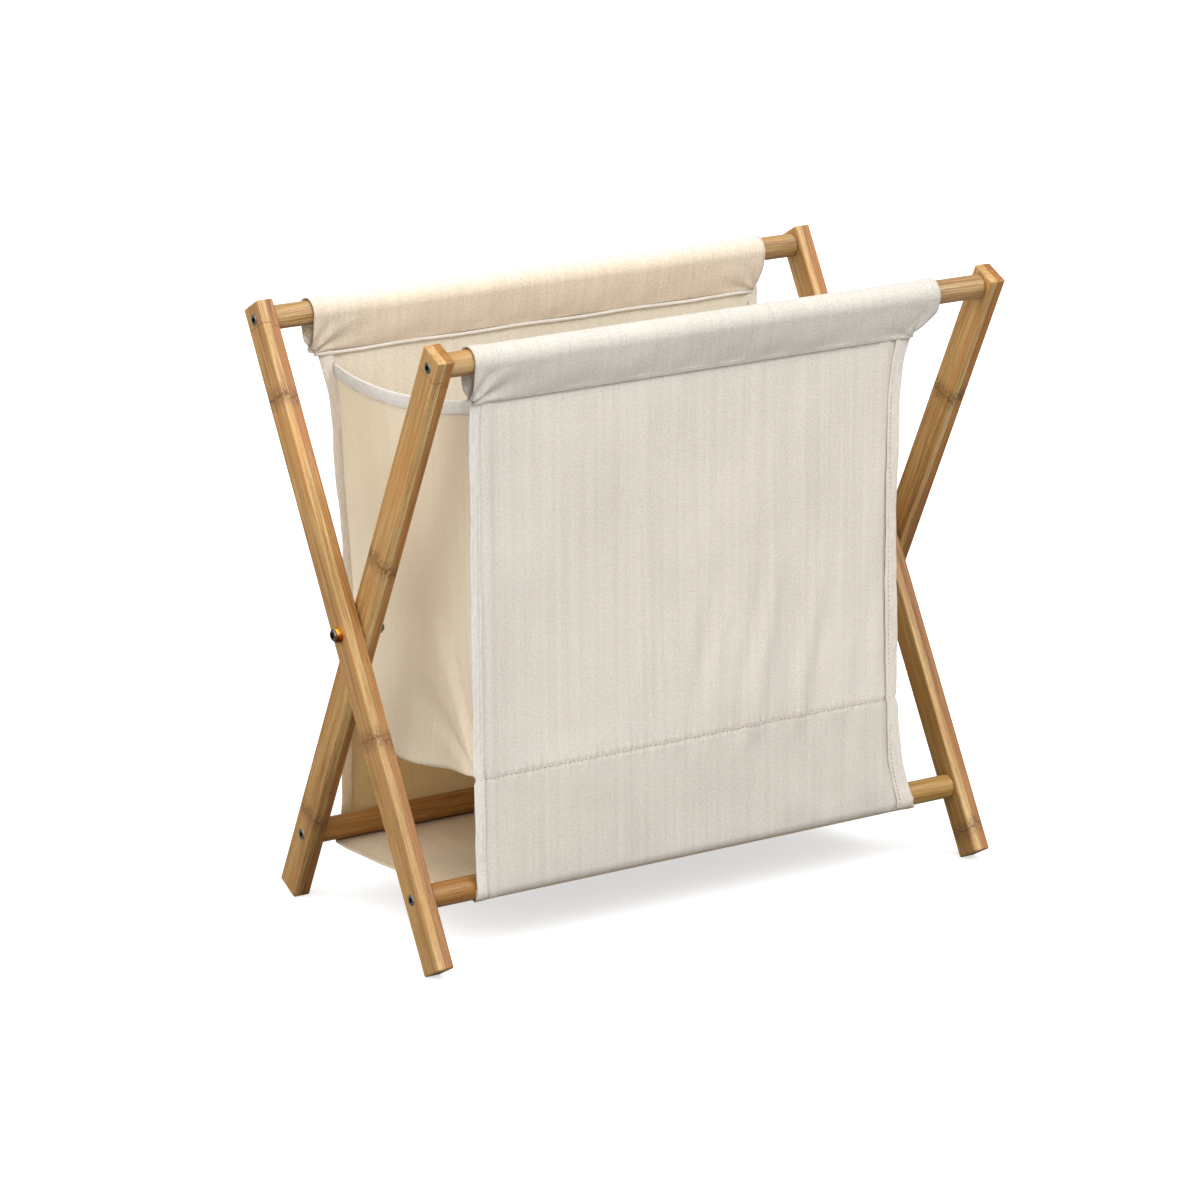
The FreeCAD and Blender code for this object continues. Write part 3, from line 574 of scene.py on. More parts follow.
def tape(name, colour, below_tint=None):
    """Herringbone tape: slanted fine ribs that change way at each rib band, and below the floor a tint of
    painted shade.
    """
    f = Finish(name)
    flat = f.node("UVMap", uv_map="flat_cloth").outputs[0]
    u, v, _ = f.node("SeparateXYZ", {0: flat}).outputs
    zigzag = f.maths("PINGPONG", u, 0.0022)
    ribs = f.maths("SINE", f.maths("MULTIPLY", f.maths("ADD", v, zigzag), TURN / 0.0011))
    mottle = f.noise(flat, (500, 120, 0), 3.0)
    relief = f.maths("MULTIPLY_ADD", mottle, 0.8, f.maths("MULTIPLY", ribs, 0.5))
    shade = f.ramp(mottle, (0.35, [0.92 * c for c in colour]), (0.65, [min(1, 1.05 * c) for c in colour]))
    # painted shade below the floor, where a below tint is given
    if below_tint:
        past = f.step(v, FLOOR_DROP - 0.032, FLOOR_DROP - 0.024)
        shade = f.mix(past, shade, f.mix(1.0, shade, plain(below_tint), "MULTIPLY"))
    f.bump(relief, 0.00016, 0.6)
    f.set(Base_Color=shade, Roughness=0.85, Sheen_Weight=0.15, Sheen_Roughness=0.5, Specular_IOR_Level=0.2)
    return f.material


def thread(name, colour):
    """Twisted cotton thread: a fine slanted rib along each stitch."""
    f = Finish(name)
    spot = f.node("TexCoord").outputs["Object"]
    twist = f.noise(spot, (1800, 1800, 1800))
    f.set(Base_Color=f.mix(twist, plain([0.8 * c for c in colour]), plain(colour)), Roughness=0.8)
    f.bump(twist, 0.0001, 0.5)
    return f.material


front_canvas = canvas(
    "front_canvas", (0.885, 0.842, 0.788), (0.90, 0.83, 0.72), 0.33, (0.970, 0.968, 0.955))
# painted warm light: the back canvas is warmer than the front's, and below the floor it gets painted shade,
# strongest on its faces towards the front
back_canvas_painted_shading = canvas(
    "back_canvas_painted_shading", (0.910, 0.830, 0.725), (0.97, 0.85, 0.67), 0.36, (0.965, 0.93, 0.86), (0.86, 0.66, 0.35))
# painted light: a lighter, warmer copy of the canvas for the end panels and the pouch floor
end_canvas_painted_light = canvas("end_canvas_painted_light", (0.975, 0.890, 0.765), (1.0, 0.89, 0.72), 0.50)
# painted shade: a darker copy of the canvas for the front sleeve
front_hem_canvas_painted_shade = canvas("front_hem_canvas_painted_shade", (0.765, 0.720, 0.652), (0.84, 0.66, 0.44), 0.14)
# painted shade: a darker copy of the canvas for the back sleeve, with painted warm light on its faces
# towards the front
back_hem_canvas_painted_shading = canvas(
    "back_hem_canvas_painted_shading", (0.820, 0.785, 0.740), (0.90, 0.72, 0.50), 0.16, painted_inside_shading=(1.11, 1.01, 0.86))
# painted shade: a darker, warmer copy of the canvas for the sling under the pouch
sling_canvas_painted_shade = canvas("sling_canvas_painted_shade", (0.785, 0.655, 0.475), (0.82, 0.64, 0.42), 0.22)
white_tape = tape("white_tape", (0.715, 0.685, 0.635))
cream_tape = tape("cream_tape", (0.730, 0.672, 0.600))
# painted shade: the back panels' tapes turn darker and warmer below the floor
shaded_tape = tape("shaded_tape", (0.750, 0.680, 0.590), (0.88, 0.74, 0.54))
pale_thread = thread("pale_thread", (0.74, 0.69, 0.62))
# the floor seam's thread: its dark grey is partly the thread's own tone and partly painted shade of the
# puckered stitch holes
grey_thread_and_dimple_shade = thread("grey_thread_and_dimple_shade", (0.50, 0.43, 0.375))
brown_thread = thread("brown_thread", (0.50, 0.37, 0.27))
# painted shade: a tan thread that darkens the valley of the front right seam
tan_thread_valley_shade = thread("tan_thread_valley_shade", (0.62, 0.50, 0.40))
print("cloth finishes ready")

# %% [markdown]
# ## Sheets, flat tubes and stitches
# Three kinds of surface make all the cloth.  A sheet is a grid of points that gets its thickness from a
# Solidify modifier.  A tape or a rolled edge is a closed tube with a flat oval section that follows a line.
# A row of stitches is one small capsule, copied along a line by adding arrays.  Each takes whole arrays of
# points, so no loop runs over single vertices.

# %% Write the three surface builders
def grid_mesh(name, points, flat, closed=False):
    """Quads between neighbours of a grid of points (rows, columns, 3).  flat (rows, columns, 2) is each
    point's place on the flat cloth.  A closed grid joins its last column to its first, so flat has one
    column more, and its two ends are capped."""
    rows, columns = points.shape[:2]
    index = np.arange(rows * columns).reshape(rows, columns)
    after = np.roll(index, -1, axis=1)
    used = columns if closed else columns - 1
    corners = [index[:-1, :used], after[:-1, :used], after[1:, :used], index[1:, :used]]
    faces = np.stack(corners, -1).reshape(-1, 4).tolist()
    placed = np.stack([flat[:-1, :used], flat[:-1, 1:used + 1], flat[1:, 1:used + 1], flat[1:, :used]], 2)
    placed = placed.reshape(-1, 2)
    if closed:
        faces += [index[0, ::-1].tolist(), index[-1].tolist()]
        placed = np.concatenate([placed, flat[0, :columns][::-1], flat[-1, :columns]])
    mesh = bpy.data.meshes.new(name)
    mesh.from_pydata(points.reshape(-1, 3), [], faces)
    layer = mesh.uv_layers.new(name="flat_cloth")
    layer.uv.foreach_set("vector", placed.astype(np.float32).ravel())
    mesh.polygons.foreach_set("use_smooth", np.ones(len(faces), bool))
    return mesh


def outward(mesh):
    """Turns the faces of closed shells outwards."""
    work = bmesh.new()
    work.from_mesh(mesh)
    bmesh.ops.recalc_face_normals(work, faces=work.faces)
    work.to_mesh(mesh)
    work.free()


def piece(name, mesh, material):
    made = bpy.data.objects.new(name, mesh)
    bpy.context.scene.collection.objects.link(made)
    mesh.materials.append(material)
    return made


def sheet(name, points, flat, material, thickness=CLOTH):
    """A sheet of cloth over a grid of points, with half its thickness each side of them."""
    made = piece(name, grid_mesh(name, points, flat), material)
    walls = made.modifiers.new("thickness", "SOLIDIFY")
    walls.thickness, walls.offset, walls.use_rim = thickness, 0.0, True
    return made


def flat_tube(name, line, wide, thin, half_width, half_thickness, material, around=14, hollow=0.0):
    """A closed tube along line (n, 3): each section is the oval wide*cos + thin*sin, its sides flattened by
    raising sin to a power below one.  hollow sinks the middle between the two edges."""
    angle = np.linspace(0, TURN, around, endpoint=False)
    cosine, sine = np.cos(angle), np.sin(angle)
    sine = np.sign(sine) * np.abs(sine) ** 0.6 * (1 - hollow + 1.6 * hollow * cosine**2)
    half_width, half_thickness = (np.broadcast_to(h, len(line)) for h in (half_width, half_thickness))
    span = (half_width[:, None] * cosine)[..., None] * wide[:, None]
    depth = (half_thickness[:, None] * sine)[..., None] * thin[:, None]
    points = line[:, None] + span + depth
    length = np.concatenate([[0], np.cumsum(np.linalg.norm(np.diff(line, axis=0), axis=1))])
    girth = np.linspace(0, 1, around + 1) * 4 * half_width[:, None]
    flat = np.stack(np.broadcast_arrays(girth, length[:, None]), -1)
    mesh = grid_mesh(name, points, flat, closed=True)
    outward(mesh)
    return piece(name, mesh, material)


def unit(vectors):
    return vectors / np.linalg.norm(vectors, axis=-1, keepdims=True)


def stitches(name, line, up, pitch, material, length=0.0030, width=0.0008):
    """Capsules pitch apart along line.  Each follows along*t with a round section that narrows to its ends
    as the root of 1 - t*t, and dips into the cloth at both ends."""
    reach = np.concatenate([[0], np.cumsum(np.linalg.norm(np.diff(line, axis=0), axis=1))])
    at = np.arange(pitch / 2, reach[-1] - pitch / 2, pitch)
    spots = np.stack([np.interp(at, reach, line[:, k]) for k in range(3)], -1)
    ahead = np.stack([np.interp(at + pitch / 4, reach, line[:, k]) for k in range(3)], -1)
    along = unit(ahead - spots)
    above = np.stack([np.interp(at, reach, up[:, k]) for k in range(3)], -1)
    aside = unit(np.cross(along, above))
    above = np.cross(aside, along)
    t = np.array([-0.98, -0.6, 0.0, 0.6, 0.98])[:, None]
    angle = np.linspace(0, TURN, 6, endpoint=False)
    round_off = np.sqrt(1 - t**2) * width / 2
    shape = np.stack(np.broadcast_arrays(
        t * length / 2, round_off * np.cos(angle), round_off * np.sin(angle) - 0.35 * width * t**2), -1)
    axes = np.stack([along, aside, above], 1)
    points = spots[:, None, None] + np.einsum("ijk,nkl->nijl", shape, axes)
    index = np.arange(30).reshape(5, 6)
    after = np.roll(index, -1, axis=1)
    quads = np.stack([index[:-1], after[:-1], after[1:], index[1:]], -1).reshape(-1, 4)
    offset = 30 * np.arange(len(at))[:, None, None]
    faces = (quads + offset).reshape(-1, 4).tolist()
    ends = np.stack([index[0, ::-1], index[-1]])
    faces += (ends + offset).reshape(-1, 6).tolist()
    mesh = bpy.data.meshes.new(name)
    mesh.from_pydata(points.reshape(-1, 3), [], faces)
    mesh.polygons.foreach_set("use_smooth", np.ones(len(faces), bool))
    outward(mesh)
    return piece(name, mesh, material)


print("builders ready")

# %% [markdown]
# ## The edges of the cloth
# Cutting and sewing leave the edges a little uneven: the front panel's left edge is straight, its right
# edge draws in at the waist and flares at the foot, and the back panel does so on both sides.  Each edge is
# a smooth line through a few (drop, x) pairs.  Between an edge and its seam lies the seam allowance.

# %% Set out the edges and seams
EDGES = {
    (FRONT, "left"): [(0.020, -0.2277), (0.200, -0.2280), (0.340, -0.2274), (0.433, -0.2260)],
    (FRONT, "right"): [(0.020, 0.2040), (0.034, 0.1976), (0.046, 0.1930), (0.061, 0.1902), (0.153, 0.1855),
                       (0.308, 0.1875), (0.343, 0.1885), (0.390, 0.1930), (0.420, 0.2005), (0.433, 0.2050)],
    (BACK, "left"): [(0.020, -0.2290), (0.046, -0.2200), (0.145, -0.2110), (0.230, -0.2075),
                     (0.340, -0.2130), (0.413, -0.2190), (0.433, -0.2210)],
    (BACK, "right"): [(0.020, 0.2140), (0.046, 0.2130), (0.145, 0.2040), (0.230, 0.2000),
                      (0.340, 0.2030), (0.413, 0.2080), (0.433, 0.2100)],
}
SEAMS = {
    (FRONT, "left"): [(0.020, -0.2186), (0.200, -0.2189), (0.340, -0.2183), (0.433, -0.2168)],
    (FRONT, "right"): [(0.020, 0.1830), (0.061, 0.1765), (0.153, 0.1735), (0.308, 0.1748),
                       (0.343, 0.1760), (0.390, 0.1785), (0.433, 0.1880)],
    (BACK, "left"): [(0.020, -0.2130), (0.046, -0.2090), (0.068, -0.2060), (0.145, -0.2038),
                     (0.230, -0.2010), (0.340, -0.2050), (0.433, -0.2110)],
    (BACK, "right"): [(0.020, 0.2040), (0.068, 0.2000), (0.145, 0.1960), (0.230, 0.1940),
                      (0.340, 0.1960), (0.433, 0.2000)],
}


def seams(side, drop):
    """The x of a panel's left and right seams at a drop."""
    return [through(drop, SEAMS[side, hand]) for hand in HANDS]


def panel_out(side, x, drop):
    """How far a hanging panel stands out: soft upright folds above the floor seam, a puckered line of
    stitching, and a puffed edge beside each seam."""
    left, right = seams(side, drop)
    middle = 0.060 if side == FRONT else -0.050
    tide = x + 0.12 * (drop - 0.30) + 0.0030 * np.sin(31 * drop + 2 * side)
    envelope = bell(x - middle, 0.105) * smooth(drop, 0.14, 0.30) * (1 - smooth(drop, 0.335, 0.362))
    folds = 0.00150 * envelope * (np.sin(TURN * tide / 0.041) + 0.45 * np.sin(TURN * tide / 0.0235 + 1.3))
    billow = 0.0012 * np.sin(TURN * (x + 0.3 * drop) / 0.31 + side) * smooth(drop, 0.05, 0.16)
    billow = billow * (1 - smooth(drop, 0.31, 0.345))
    sides = 0.0012 * (bell(x - left - 0.008, 0.005) + bell(x - right + 0.009, 0.006))
    valley = -0.0011 * (bell(x - left, 0.0022) + bell(x - right + 0.0008, 0.0030))
    gathers = np.sin(TURN * x / 0.0063 + 1.7 * np.sin(47 * x)) + 0.5 * np.sin(TURN * x / 0.017 + 1.0)
    pucker = 0.00060 * gathers * bell(drop - FLOOR_DROP + 0.001, 0.0058)
    stitched = -0.00075 * bell(drop - FLOOR_DROP, 0.0018)
    lower = 0.0007 * np.sin(TURN * (x - 0.5 * drop) / 0.075) * smooth(drop, 0.355, 0.40)
    lower = lower * (1 - smooth(drop, 0.415, 0.433)) * bell(x - 0.12 * -side, 0.12)
    dip = -0.0016 * smooth(drop, 0.045, 0.12) * (1 - smooth(drop, 0.24, 0.33)) * (1 - (x / 0.24) ** 2)
    return folds + billow + sides + valley + pucker + stitched + lower + dip


print("edges set for", len(EDGES), "sides")

# %% [markdown]
# ## Front and back panels
# One length of canvas hangs from the sleeve down to the lower rail and a little way round it, where its end
# covers the start of the sling.  The pouch floor is sewn across it at the stitch line.  Below that line the
# cloth slides round the lower rail when the rack folds.

# %% Hang the panels
def panel(side):
    name = SIDES[side] + "_canvas_panel"
    arc = DROP_LENGTH + WRAP_RADIUS * TUCK * np.append(np.linspace(0, 0.96, 12), 1.0)
    drop = np.concatenate([
        [0.0295, 0.0299], np.linspace(0.031, 0.324, 74), np.linspace(0.3265, 0.3540, 20),
        np.linspace(0.3575, 0.4300, 22), arc])
    share = np.linspace(0, 1, 281)
    hung = np.minimum(drop, DROP_LENGTH)
    left, right = seams(side, hung[:, None])
    x = left - 0.003 + (right - left + 0.006) * share
    down = np.broadcast_to(drop[:, None], x.shape)
    out = panel_out(side, x, np.minimum(down, DROP_LENGTH)) + LIFT * smooth(down, 0.39, 0.43)
    points = fall(side, x, down, out)
    cloth = front_canvas if side == FRONT else back_canvas_painted_shading
    made = sheet(name, points, np.stack([x, down], -1), cloth)
    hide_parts(SIDES[side] + "_panel", SIDES[side] + "_drop")
    follow_sling(made, side)
    return made


def follow_sling(made, side):
    """Bakes the piece's transform into its mesh."""
    start, end = (hang(side, 0.0, drop, 0.0).tolist() for drop in (FLOOR_DROP, DROP_LENGTH))
    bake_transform(made)


panels = [panel(side) for side in SIDES]
print("panels:", [(p.name, len(p.data.polygons)) for p in panels])

# %% [markdown]
# ## Sleeves
# The panel's top is turned over the rail and sewn down, which makes a sleeve with a pear-shaped section:
# an arc over the rail with a straight run down each side to the seam.  The run down is loose, so it bellies
# a little and creases at the ends.  The sleeve's own ends are hemmed, which shows as a slightly thicker
# rim with a groove of stitching beside it.

# %% Wrap the sleeves
SLEEVE_RADIUS = 0.0112
SLEEVE_FOOT = 0.0012


def sleeve_section(path):
    """(out, rise, outward normal, run) of the pear-shaped section for path from 0 at the outer seam to 1 at
    the inner one.  run is 0 on the rail and 1 at the seams.  The straight parts touch the arc where the
    angle from the seam's direction is the arc cosine of radius over distance."""
    far = math.hypot(SLEEVE_FOOT, SEAM_DROP)
    touch = math.atan2(-SEAM_DROP, SLEEVE_FOOT) + math.acos(SLEEVE_RADIUS / far)
    run_length = math.sqrt(far**2 - SLEEVE_RADIUS**2)
    arc = math.pi - 2 * touch
    total = 2 * run_length + SLEEVE_RADIUS * arc
    reach = path * total
    angle = np.clip(touch + (reach - run_length) / SLEEVE_RADIUS, touch, touch + arc)
    normal = np.stack([np.cos(angle), np.sin(angle)], -1)
    tangent = np.stack([-np.sin(angle), np.cos(angle)], -1)
    beyond = np.minimum(reach - run_length, 0) + np.maximum(reach - run_length - SLEEVE_RADIUS * arc, 0)
    place = SLEEVE_RADIUS * normal + beyond[..., None] * tangent
    return place, normal, np.abs(beyond) / run_length, total


def sleeve(side, left, right, draw_in):
    name = SIDES[side] + "_sleeve_cloth"
    half = np.concatenate([[0, 0.003], np.linspace(0.01, 0.30, 22), np.linspace(0.315, 0.495, 15)])
    path = np.concatenate([half, 1 - half[::-1]])
    share = np.linspace(0, 1, 171)
    section, normal, run, total = sleeve_section(path)
    run = run[:, None]
    right_edge = right - draw_in * smooth(run, 0.25, 1.0)
    left_edge = left + 0.0012 * smooth(run, 0.5, 1.0)
    x = left_edge + (right_edge - left_edge) * share
    outside = (path < 0.5)[:, None]
    from_left, from_right = x - left_edge, right_edge - x
    belly = 0.0011 * np.sin(np.pi * run) * (0.75 + 0.35 * np.sin(TURN * x / 0.19 + side))
    crease = 0.0
    for reach, depth, phase in ((from_left, 0.0036, 0.4), (from_right, 0.0018, 2.0)):
        radius = np.hypot(reach + 0.004, (1.04 - run) * SEAM_DROP)
        fan = np.arctan2((1.04 - run) * SEAM_DROP, reach + 0.004)
        ripple = depth * np.exp(-radius / 0.022) * np.sin(10.5 * fan + phase)
        crease = crease + ripple * smooth(run, 0.0, 0.25)
    crease = crease * (1 - smooth(run, 0.90, 1.0))
    wave = 0.00035 * np.sin(TURN * (x + 0.02 * run) / 0.053 + 2.1 * np.sin(19 * x)) * smooth(run, 0.1, 0.7)
    wave = wave * (1 - smooth(run, 0.8, 1.0))
    hem = 0.0006 * ((1 - smooth(from_left, 0.0105, 0.0125)) + (1 - smooth(from_right, 0.0105, 0.0125)))
    groove = -0.0004 * (bell(from_left - 0.0118, 0.0010) + bell(from_right - 0.0118, 0.0010))
    out = belly + crease + wave + hem + groove + 0.0004
    lap = 0.0005 * smooth(run, 0.82, 1.0) * outside
    place = section[:, None] + normal[:, None] * out[..., None]
    points = hang(side, x, -place[..., 1] + lap * 0.9, place[..., 0] + lap * 0.35)
    flat = np.stack(np.broadcast_arrays(x, path[:, None] * total), -1)
    cloth = front_hem_canvas_painted_shade if side == FRONT else back_hem_canvas_painted_shading
    made = sheet(name, points, flat, cloth, 0.0010)
    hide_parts(SIDES[side] + "_sleeve")
    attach(made, SIDES[side] + "_cloth")
    return made


SLEEVE_ENDS = {FRONT: (-0.2280, 0.2170, 0.0208), BACK: (-0.2310, 0.2130, 0.006)}
sleeves = [sleeve(side, *ends) for side, ends in SLEEVE_ENDS.items()]
print("sleeves:", [(s.name, len(s.data.polygons)) for s in sleeves])

# %% [markdown]
# ## Pouch ends and floor
# Each end of the pouch is a panel sewn between the front and back seams.  Its top edge dips between them,
# its foot sags with the floor, and small folds fan out where three seams meet at the front corner.  The
# surface is a blend between four edges: across by the share from front to back, up by the share from foot
# to top.

# %% Close the ends and lay the floor
INSIDE = 0.0012         # the ends stop this far inside the panels' own line
TOP_TABLE = [(-0.120, 0.4600), (-0.101, 0.4560), (-0.070, 0.4504), (-0.002, 0.4421), (0.030, 0.4402),
             (0.060, 0.4402), (0.096, 0.4429), (0.120, 0.4475)]


def floor_sag(y):
    """The floor's sag: the sine of half a turn of the share from front to back, drawn to the back."""
    share = np.clip((y + 0.1145) / 0.229, 0, 1)
    return 0.0165 * np.sin(np.pi * share**1.6)


def end_surface(hand, from_front, from_foot):
    """Points of an end panel for shares from front to back and from foot to top."""
    out_sign = -1 if hand == "left" else 1
    y_line = (2 * from_front - 1) * 0.1175
    top = through(y_line, TOP_TABLE)
    foot = TOP_Z - FLOOR_DROP * math.cos(LEAN) - floor_sag(y_line)
    z = foot + (top - foot) * from_foot
    drop = (TOP_Z - z) / math.cos(LEAN)
    reach = TOP_Y - drop * math.sin(LEAN) - INSIDE
    y = (2 * from_front - 1) * reach
    front_x, back_x = (through(drop, SEAMS[side, hand]) for side in (FRONT, BACK))
    x = front_x + (back_x - front_x) * from_front
    middle = 4 * from_front * (1 - from_front)
    belly = -0.0035 * middle * np.sin(np.pi * np.clip(from_foot, 0, 1)) ** 0.8
    radius = np.hypot((from_front + 0.01) * 0.235, (from_foot + 0.01) * 0.30)
    fan = np.arctan2(from_foot + 0.01, from_front + 0.01)
    fans = 0.0060 * np.exp(-radius / 0.055) * np.sin(10 * fan + 0.9) * smooth(radius, 0.004, 0.024)
    fans = fans + 0.0013 * np.exp(-radius / 0.090) * np.sin(23 * fan + 2.0) * smooth(radius, 0.010, 0.040)
    long_folds = 0.0006 * np.sin(TURN * (from_front * 3.1 + 0.4 * from_foot)) * middle * (1 - from_foot**2)
    slant = TURN * (from_front * 2.2 - 0.9 * from_foot)
    slack = 0.0024 * middle * np.sin(slant + 0.8) * bell(from_foot, 0.24)
    x = x + out_sign * (belly + fans + long_folds + slack)
    return np.stack(np.broadcast_arrays(x, y, z), -1)


def pose_soft(made):
    """Parents the piece to the front cloth's body and gives it a mesh of its own."""
    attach(made, "front_cloth")
    on_panel = hang(FRONT, 0.0, 0.2, 0.0)
    normal = hang(FRONT, 0.0, 0.2, 1.0) - on_panel
    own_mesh(made)


def end_panel(hand):
    from_front, from_foot = np.meshgrid(np.linspace(0, 1, 96), np.linspace(0, 1, 120))
    points = end_surface(hand, from_front, from_foot)
    flat = np.stack([points[..., 1] + 0.5, points[..., 2]], -1)
    made = sheet(hand + "_end_canvas_painted_light", points, flat, end_canvas_painted_light)
    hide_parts(hand + "_end_panel")
    pose_soft(made)
    return made


def end_binding(hand):
    """A folded tape over the end panel's top edge, 12 mm deep."""
    from_front = np.linspace(0.004, 0.996, 90)
    line = end_surface(hand, from_front, np.full(90, 0.983))
    down = unit(line - end_surface(hand, from_front, np.full(90, 0.93)))
    ahead = unit(np.gradient(line, axis=0))
    thin = unit(np.cross(ahead, down))
    made = flat_tube(hand + "_end_tape", line, down, thin, 0.0061, 0.0013, white_tape, 18)
    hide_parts(hand + "_end_binding")
    pose_soft(made)
    lower = end_surface(hand, from_front, np.full(90, 0.966))
    sign = -1 if hand == "left" else 1
    for face in (1, -1):
        row = lower + face * 0.0015 * np.array([sign, 0, 0])
        over = np.broadcast_to(np.array([face * sign, 0.0, 0.0]), row.shape)
        where = "outer" if face == 1 else "inner"
        pose_soft(stitches(f"{hand}_end_{where}_stitches", row, over, 0.0040, pale_thread))


def pouch_floor():
    share_x, share_y = np.meshgrid(np.linspace(0, 1, 110), np.linspace(0, 1, 80))
    y = (2 * share_y - 1) * 0.1142
    ends = []
    for hand in HANDS:
        front_x, back_x = (through(FLOOR_DROP, SEAMS[side, hand]) for side in (FRONT, BACK))
        ends.append(front_x * (1 - share_y) + back_x * share_y)
    x = ends[0] + (ends[1] - ends[0]) * share_x
    z = TOP_Z - FLOOR_DROP * math.cos(LEAN) - floor_sag(y) * (1 - 0.2 * np.sin(np.pi * share_x))
    z = z + 0.0012 * np.sin(TURN * x / 0.09 + 14 * y) * np.sin(np.pi * share_y)
    points = np.stack([x, y, z], -1)
    made = sheet("pouch_floor_canvas", points, np.stack([x, y], -1), end_canvas_painted_light)
    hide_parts("pouch_floor")
    pose_soft(made)


for hand in HANDS:
    end_panel(hand)
    end_binding(hand)
pouch_floor()
print("pouch closed: 2 ends, 2 tapes and a floor")

# %% [markdown]
# ## Seam allowances
# Where an end panel meets a front or back panel the raw edges are trapped in a folded tape that stands out
# sideways.  A flat tube with a slightly wavy line gives it body, and it runs on down the edge of the sling
# as that edge's hem.  The tape on the front left is white, and the others are canvas.

# %% Sew the side tapes
SIDE_NODES = {"left": "_left_seam_tape", "right": "_right_seam_tape"}


def side_tape(side, hand, material):
    name = f"{SIDES[side]}_{hand}_side_tape"
    drop = np.concatenate([
        np.linspace(0.0305, 0.330, 90), np.linspace(0.332, DROP_LENGTH, 50),
        DROP_LENGTH + WRAP_RADIUS * TUCK * np.linspace(0.08, 1.0, 12)])
    hung = np.minimum(drop, DROP_LENGTH)
    edge, seam = (through(hung, table[side, hand]) for table in (EDGES, SEAMS))
    nick = 0.0014 * bell(drop - FLOOR_DROP, 0.003) * np.sign(seam)
    wavy = 0.0003 * np.sin(TURN * drop / 0.083 + side) + 0.0002 * np.sin(TURN * drop / 0.031)
    middle = (edge + seam) / 2 + wavy - nick - 0.0006 * np.sign(seam)
    out = 0.0003 * np.sin(TURN * hung / 0.12 + 1) - 0.0002 + 0.0011 * smooth(drop, 0.41, 0.43)
    line = fall(side, middle, drop, out)
    half = np.abs(edge - seam) / 2 - np.abs(nick) * 0.5
    swing = 4 if side == FRONT else -18
    turn = (np.sign(seam) * np.radians(swing + 5 * np.sin(TURN * drop / 0.15)))[:, None]
    turn = turn * (1 - smooth(drop, 0.40, 0.43))[:, None]
    x_axis = np.broadcast_to(np.array([1.0, 0.0, 0.0]), line.shape)
    outward_axis = unit(fall(side, middle, drop, out + 0.001) - line)
    wide = x_axis * np.cos(turn) - outward_axis * np.sin(turn)
    thin = outward_axis * np.cos(turn) + x_axis * np.sin(turn)
    folded = (side, hand) == (FRONT, "left")
    hollow, thick = (0.42, 0.0014) if folded else (0.1, 0.0010)
    made = flat_tube(name, line, wide, thin, half, thick, material, 18, hollow)
    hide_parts(SIDES[side] + SIDE_NODES[hand])
    follow_sling(made, side)
    inner = seam + np.sign(seam) * 0.0022
    row = fall(side, inner, drop, out + 0.0012)
    # beside the front right seam the stitches carry a painted shade of the seam's valley
    shade = {(BACK, "left"): brown_thread, (FRONT, "right"): tan_thread_valley_shade}.get((side, hand), pale_thread)
    rows = stitches(f"{SIDES[side]}_{hand}_side_stitches", row, outward_axis, 0.0042, shade)
    follow_sling(rows, side)


for side in SIDES:
    for hand in HANDS:
        front_tape = white_tape if hand == "left" else cream_tape
        side_tape(side, hand, front_tape if side == FRONT else shaded_tape)
print("side tapes sewn")

# %% [markdown]
# ## The sling
# Below the pouch the strip of cloth turns round both lower rails and runs back level between them.  The
# turn is part of a circle a cloth's thickness larger than the rail.  It starts well up under the hanging
# sheet, so that no bare rail shows there when the rack folds.  The level part is held by both frames, and
# here it is one still sheet with a slight sag.

# %% Wrap the lower rails
SLING_LEFT = [(-0.114, -0.2262), (-0.102, -0.2225), (-0.037, -0.2237), (0.013, -0.2300), (0.051, -0.2318),
              (0.091, -0.2335), (0.102, -0.2320), (0.114, -0.2210)]
SLING_RIGHT = [(-0.114, 0.2050), (-0.102, 0.2120), (-0.037, 0.2110), (0.013, 0.2120), (0.091, 0.2150),
               (0.102, 0.2140), (0.114, 0.2100)]


def sling_x(y, share):
    left, right = through(y, SLING_LEFT), through(y, SLING_RIGHT)
    return left + (right - left) * share, left, right


def sling_hem(x, left, right):
    """The doubled cloth of the side hems, as a rise of half a millimetre."""
    return 0.0005 * ((1 - smooth(x - left, 0.008, 0.010)) + (1 - smooth(right - x, 0.008, 0.010)))


def sling_turn(side, body):
    name = SIDES[side] + "_sling_turn"
    start = LEAN - math.radians(5.0)
    angle, share = np.meshgrid(np.linspace(start, QUARTER, 40), np.linspace(0, 1, 150), indexing="ij")
    y_line = side * (LOW_Y + WRAP_RADIUS * np.cos(np.maximum(angle, 0)))
    x, left, right = sling_x(y_line, share)
    clear = smooth(angle, LEAN + TUCK - 0.02, LEAN + TUCK + 0.06)
    radius = WRAP_RADIUS + LIFT - 0.0010 * (1 - clear) + sling_hem(x, left, right) * clear
    points = round_low_rail(side, x, angle, radius)
    made = sheet(name, points, np.stack([x, WRAP_RADIUS * angle], -1), sling_canvas_painted_shade, 0.0008)
    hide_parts(SIDES[side] + "_wrap")
    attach(made, body)


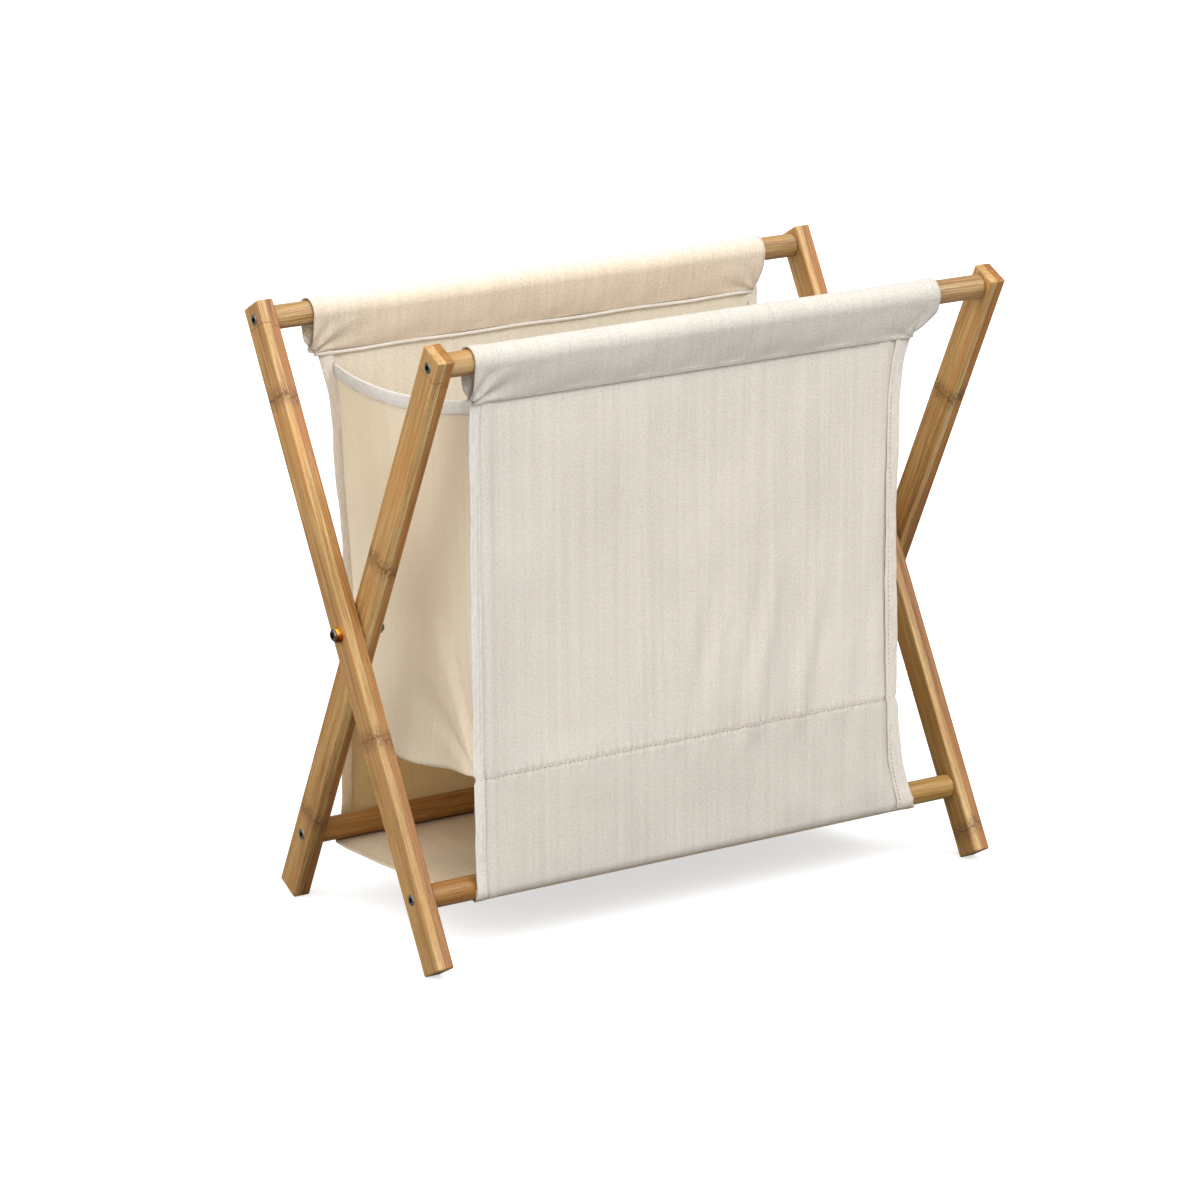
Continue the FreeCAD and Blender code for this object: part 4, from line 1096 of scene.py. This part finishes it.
def sling_floor():
    y, share = np.meshgrid(np.linspace(-LOW_Y, LOW_Y, 90), np.linspace(0, 1, 150), indexing="ij")
    x, left, right = sling_x(y, share)
    level = LOW_Z - WRAP_RADIUS - LIFT
    slack = np.cos(np.pi * y / (2 * LOW_Y)) ** 2
    z = level - sling_hem(x, left, right) * smooth(LOW_Y - np.abs(y), 0.0, 0.004)
    z = z - 0.0012 * slack * (1 - 0.5 * np.sin(TURN * x / 0.2))
    z = z + 0.0009 * slack * np.sin(TURN * (x + y) / 0.13)
    made = sheet("sling_floor", np.stack([x, y, z], -1), np.stack([x, y], -1), sling_canvas_painted_shade)
    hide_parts("sling_base")
    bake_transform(made)


sling_turn(FRONT, "frame_b")
sling_turn(BACK, "frame_a")
sling_floor()
print("sling wrapped")

# %% [markdown]
# ## Seams on the panels
# The floor is sewn across each panel with a row of stitches that dimple the cloth, and each sleeve is
# closed with another.  Inside the back panel the turned edge of the sleeve stands out as a thin roll.

# %% Sew the long seams
def cross_row(side, name, drop, out, shade, inside=False, trim=0.001):
    """A row of stitches along x at one drop, on the outer or the inner face of a panel."""
    left, right = seams(side, drop)
    x = np.linspace(left + trim, right - trim, 300)
    sign = -1 if inside else 1
    line = hang(side, x, drop, panel_out(side, x, np.full(300, drop)) * (drop > 0.1) + sign * out)
    over = sign * np.broadcast_to(np.array([0.0, side * math.cos(LEAN), -math.sin(LEAN)]), line.shape)
    made = stitches(name, line, over, 0.0042, shade, 0.0032, 0.0009)
    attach(made, SIDES[side] + "_cloth")


def sleeve_roll(side):
    """The turned edge of the sleeve: a thin flat roll along the seam, on the inner face."""
    left, right, draw_in = SLEEVE_ENDS[side]
    x = np.linspace(left + 0.004, right - draw_in - 0.002, 160)
    drop = SEAM_DROP + 0.0022 + 0.0004 * np.sin(TURN * x / 0.11)
    line = hang(side, x, drop, -0.0017)
    wide = np.broadcast_to(np.array([0.0, side * math.sin(LEAN), math.cos(LEAN)]), line.shape)
    thin = np.broadcast_to(np.array([0.0, -side * math.cos(LEAN), math.sin(LEAN)]), line.shape)
    name = SIDES[side] + "_sleeve_roll"
    made = flat_tube(name, line, wide, thin, 0.0015, 0.0010, cream_tape)
    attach(made, SIDES[side] + "_cloth")


for side in SIDES:
    word = SIDES[side]
    cross_row(side, word + "_floor_stitches", FLOOR_DROP, 0.0009, grey_thread_and_dimple_shade)
    cross_row(side, word + "_sleeve_stitches", SEAM_DROP - 0.0022, 0.0032, pale_thread)
    sleeve_roll(side)
print("long seams sewn")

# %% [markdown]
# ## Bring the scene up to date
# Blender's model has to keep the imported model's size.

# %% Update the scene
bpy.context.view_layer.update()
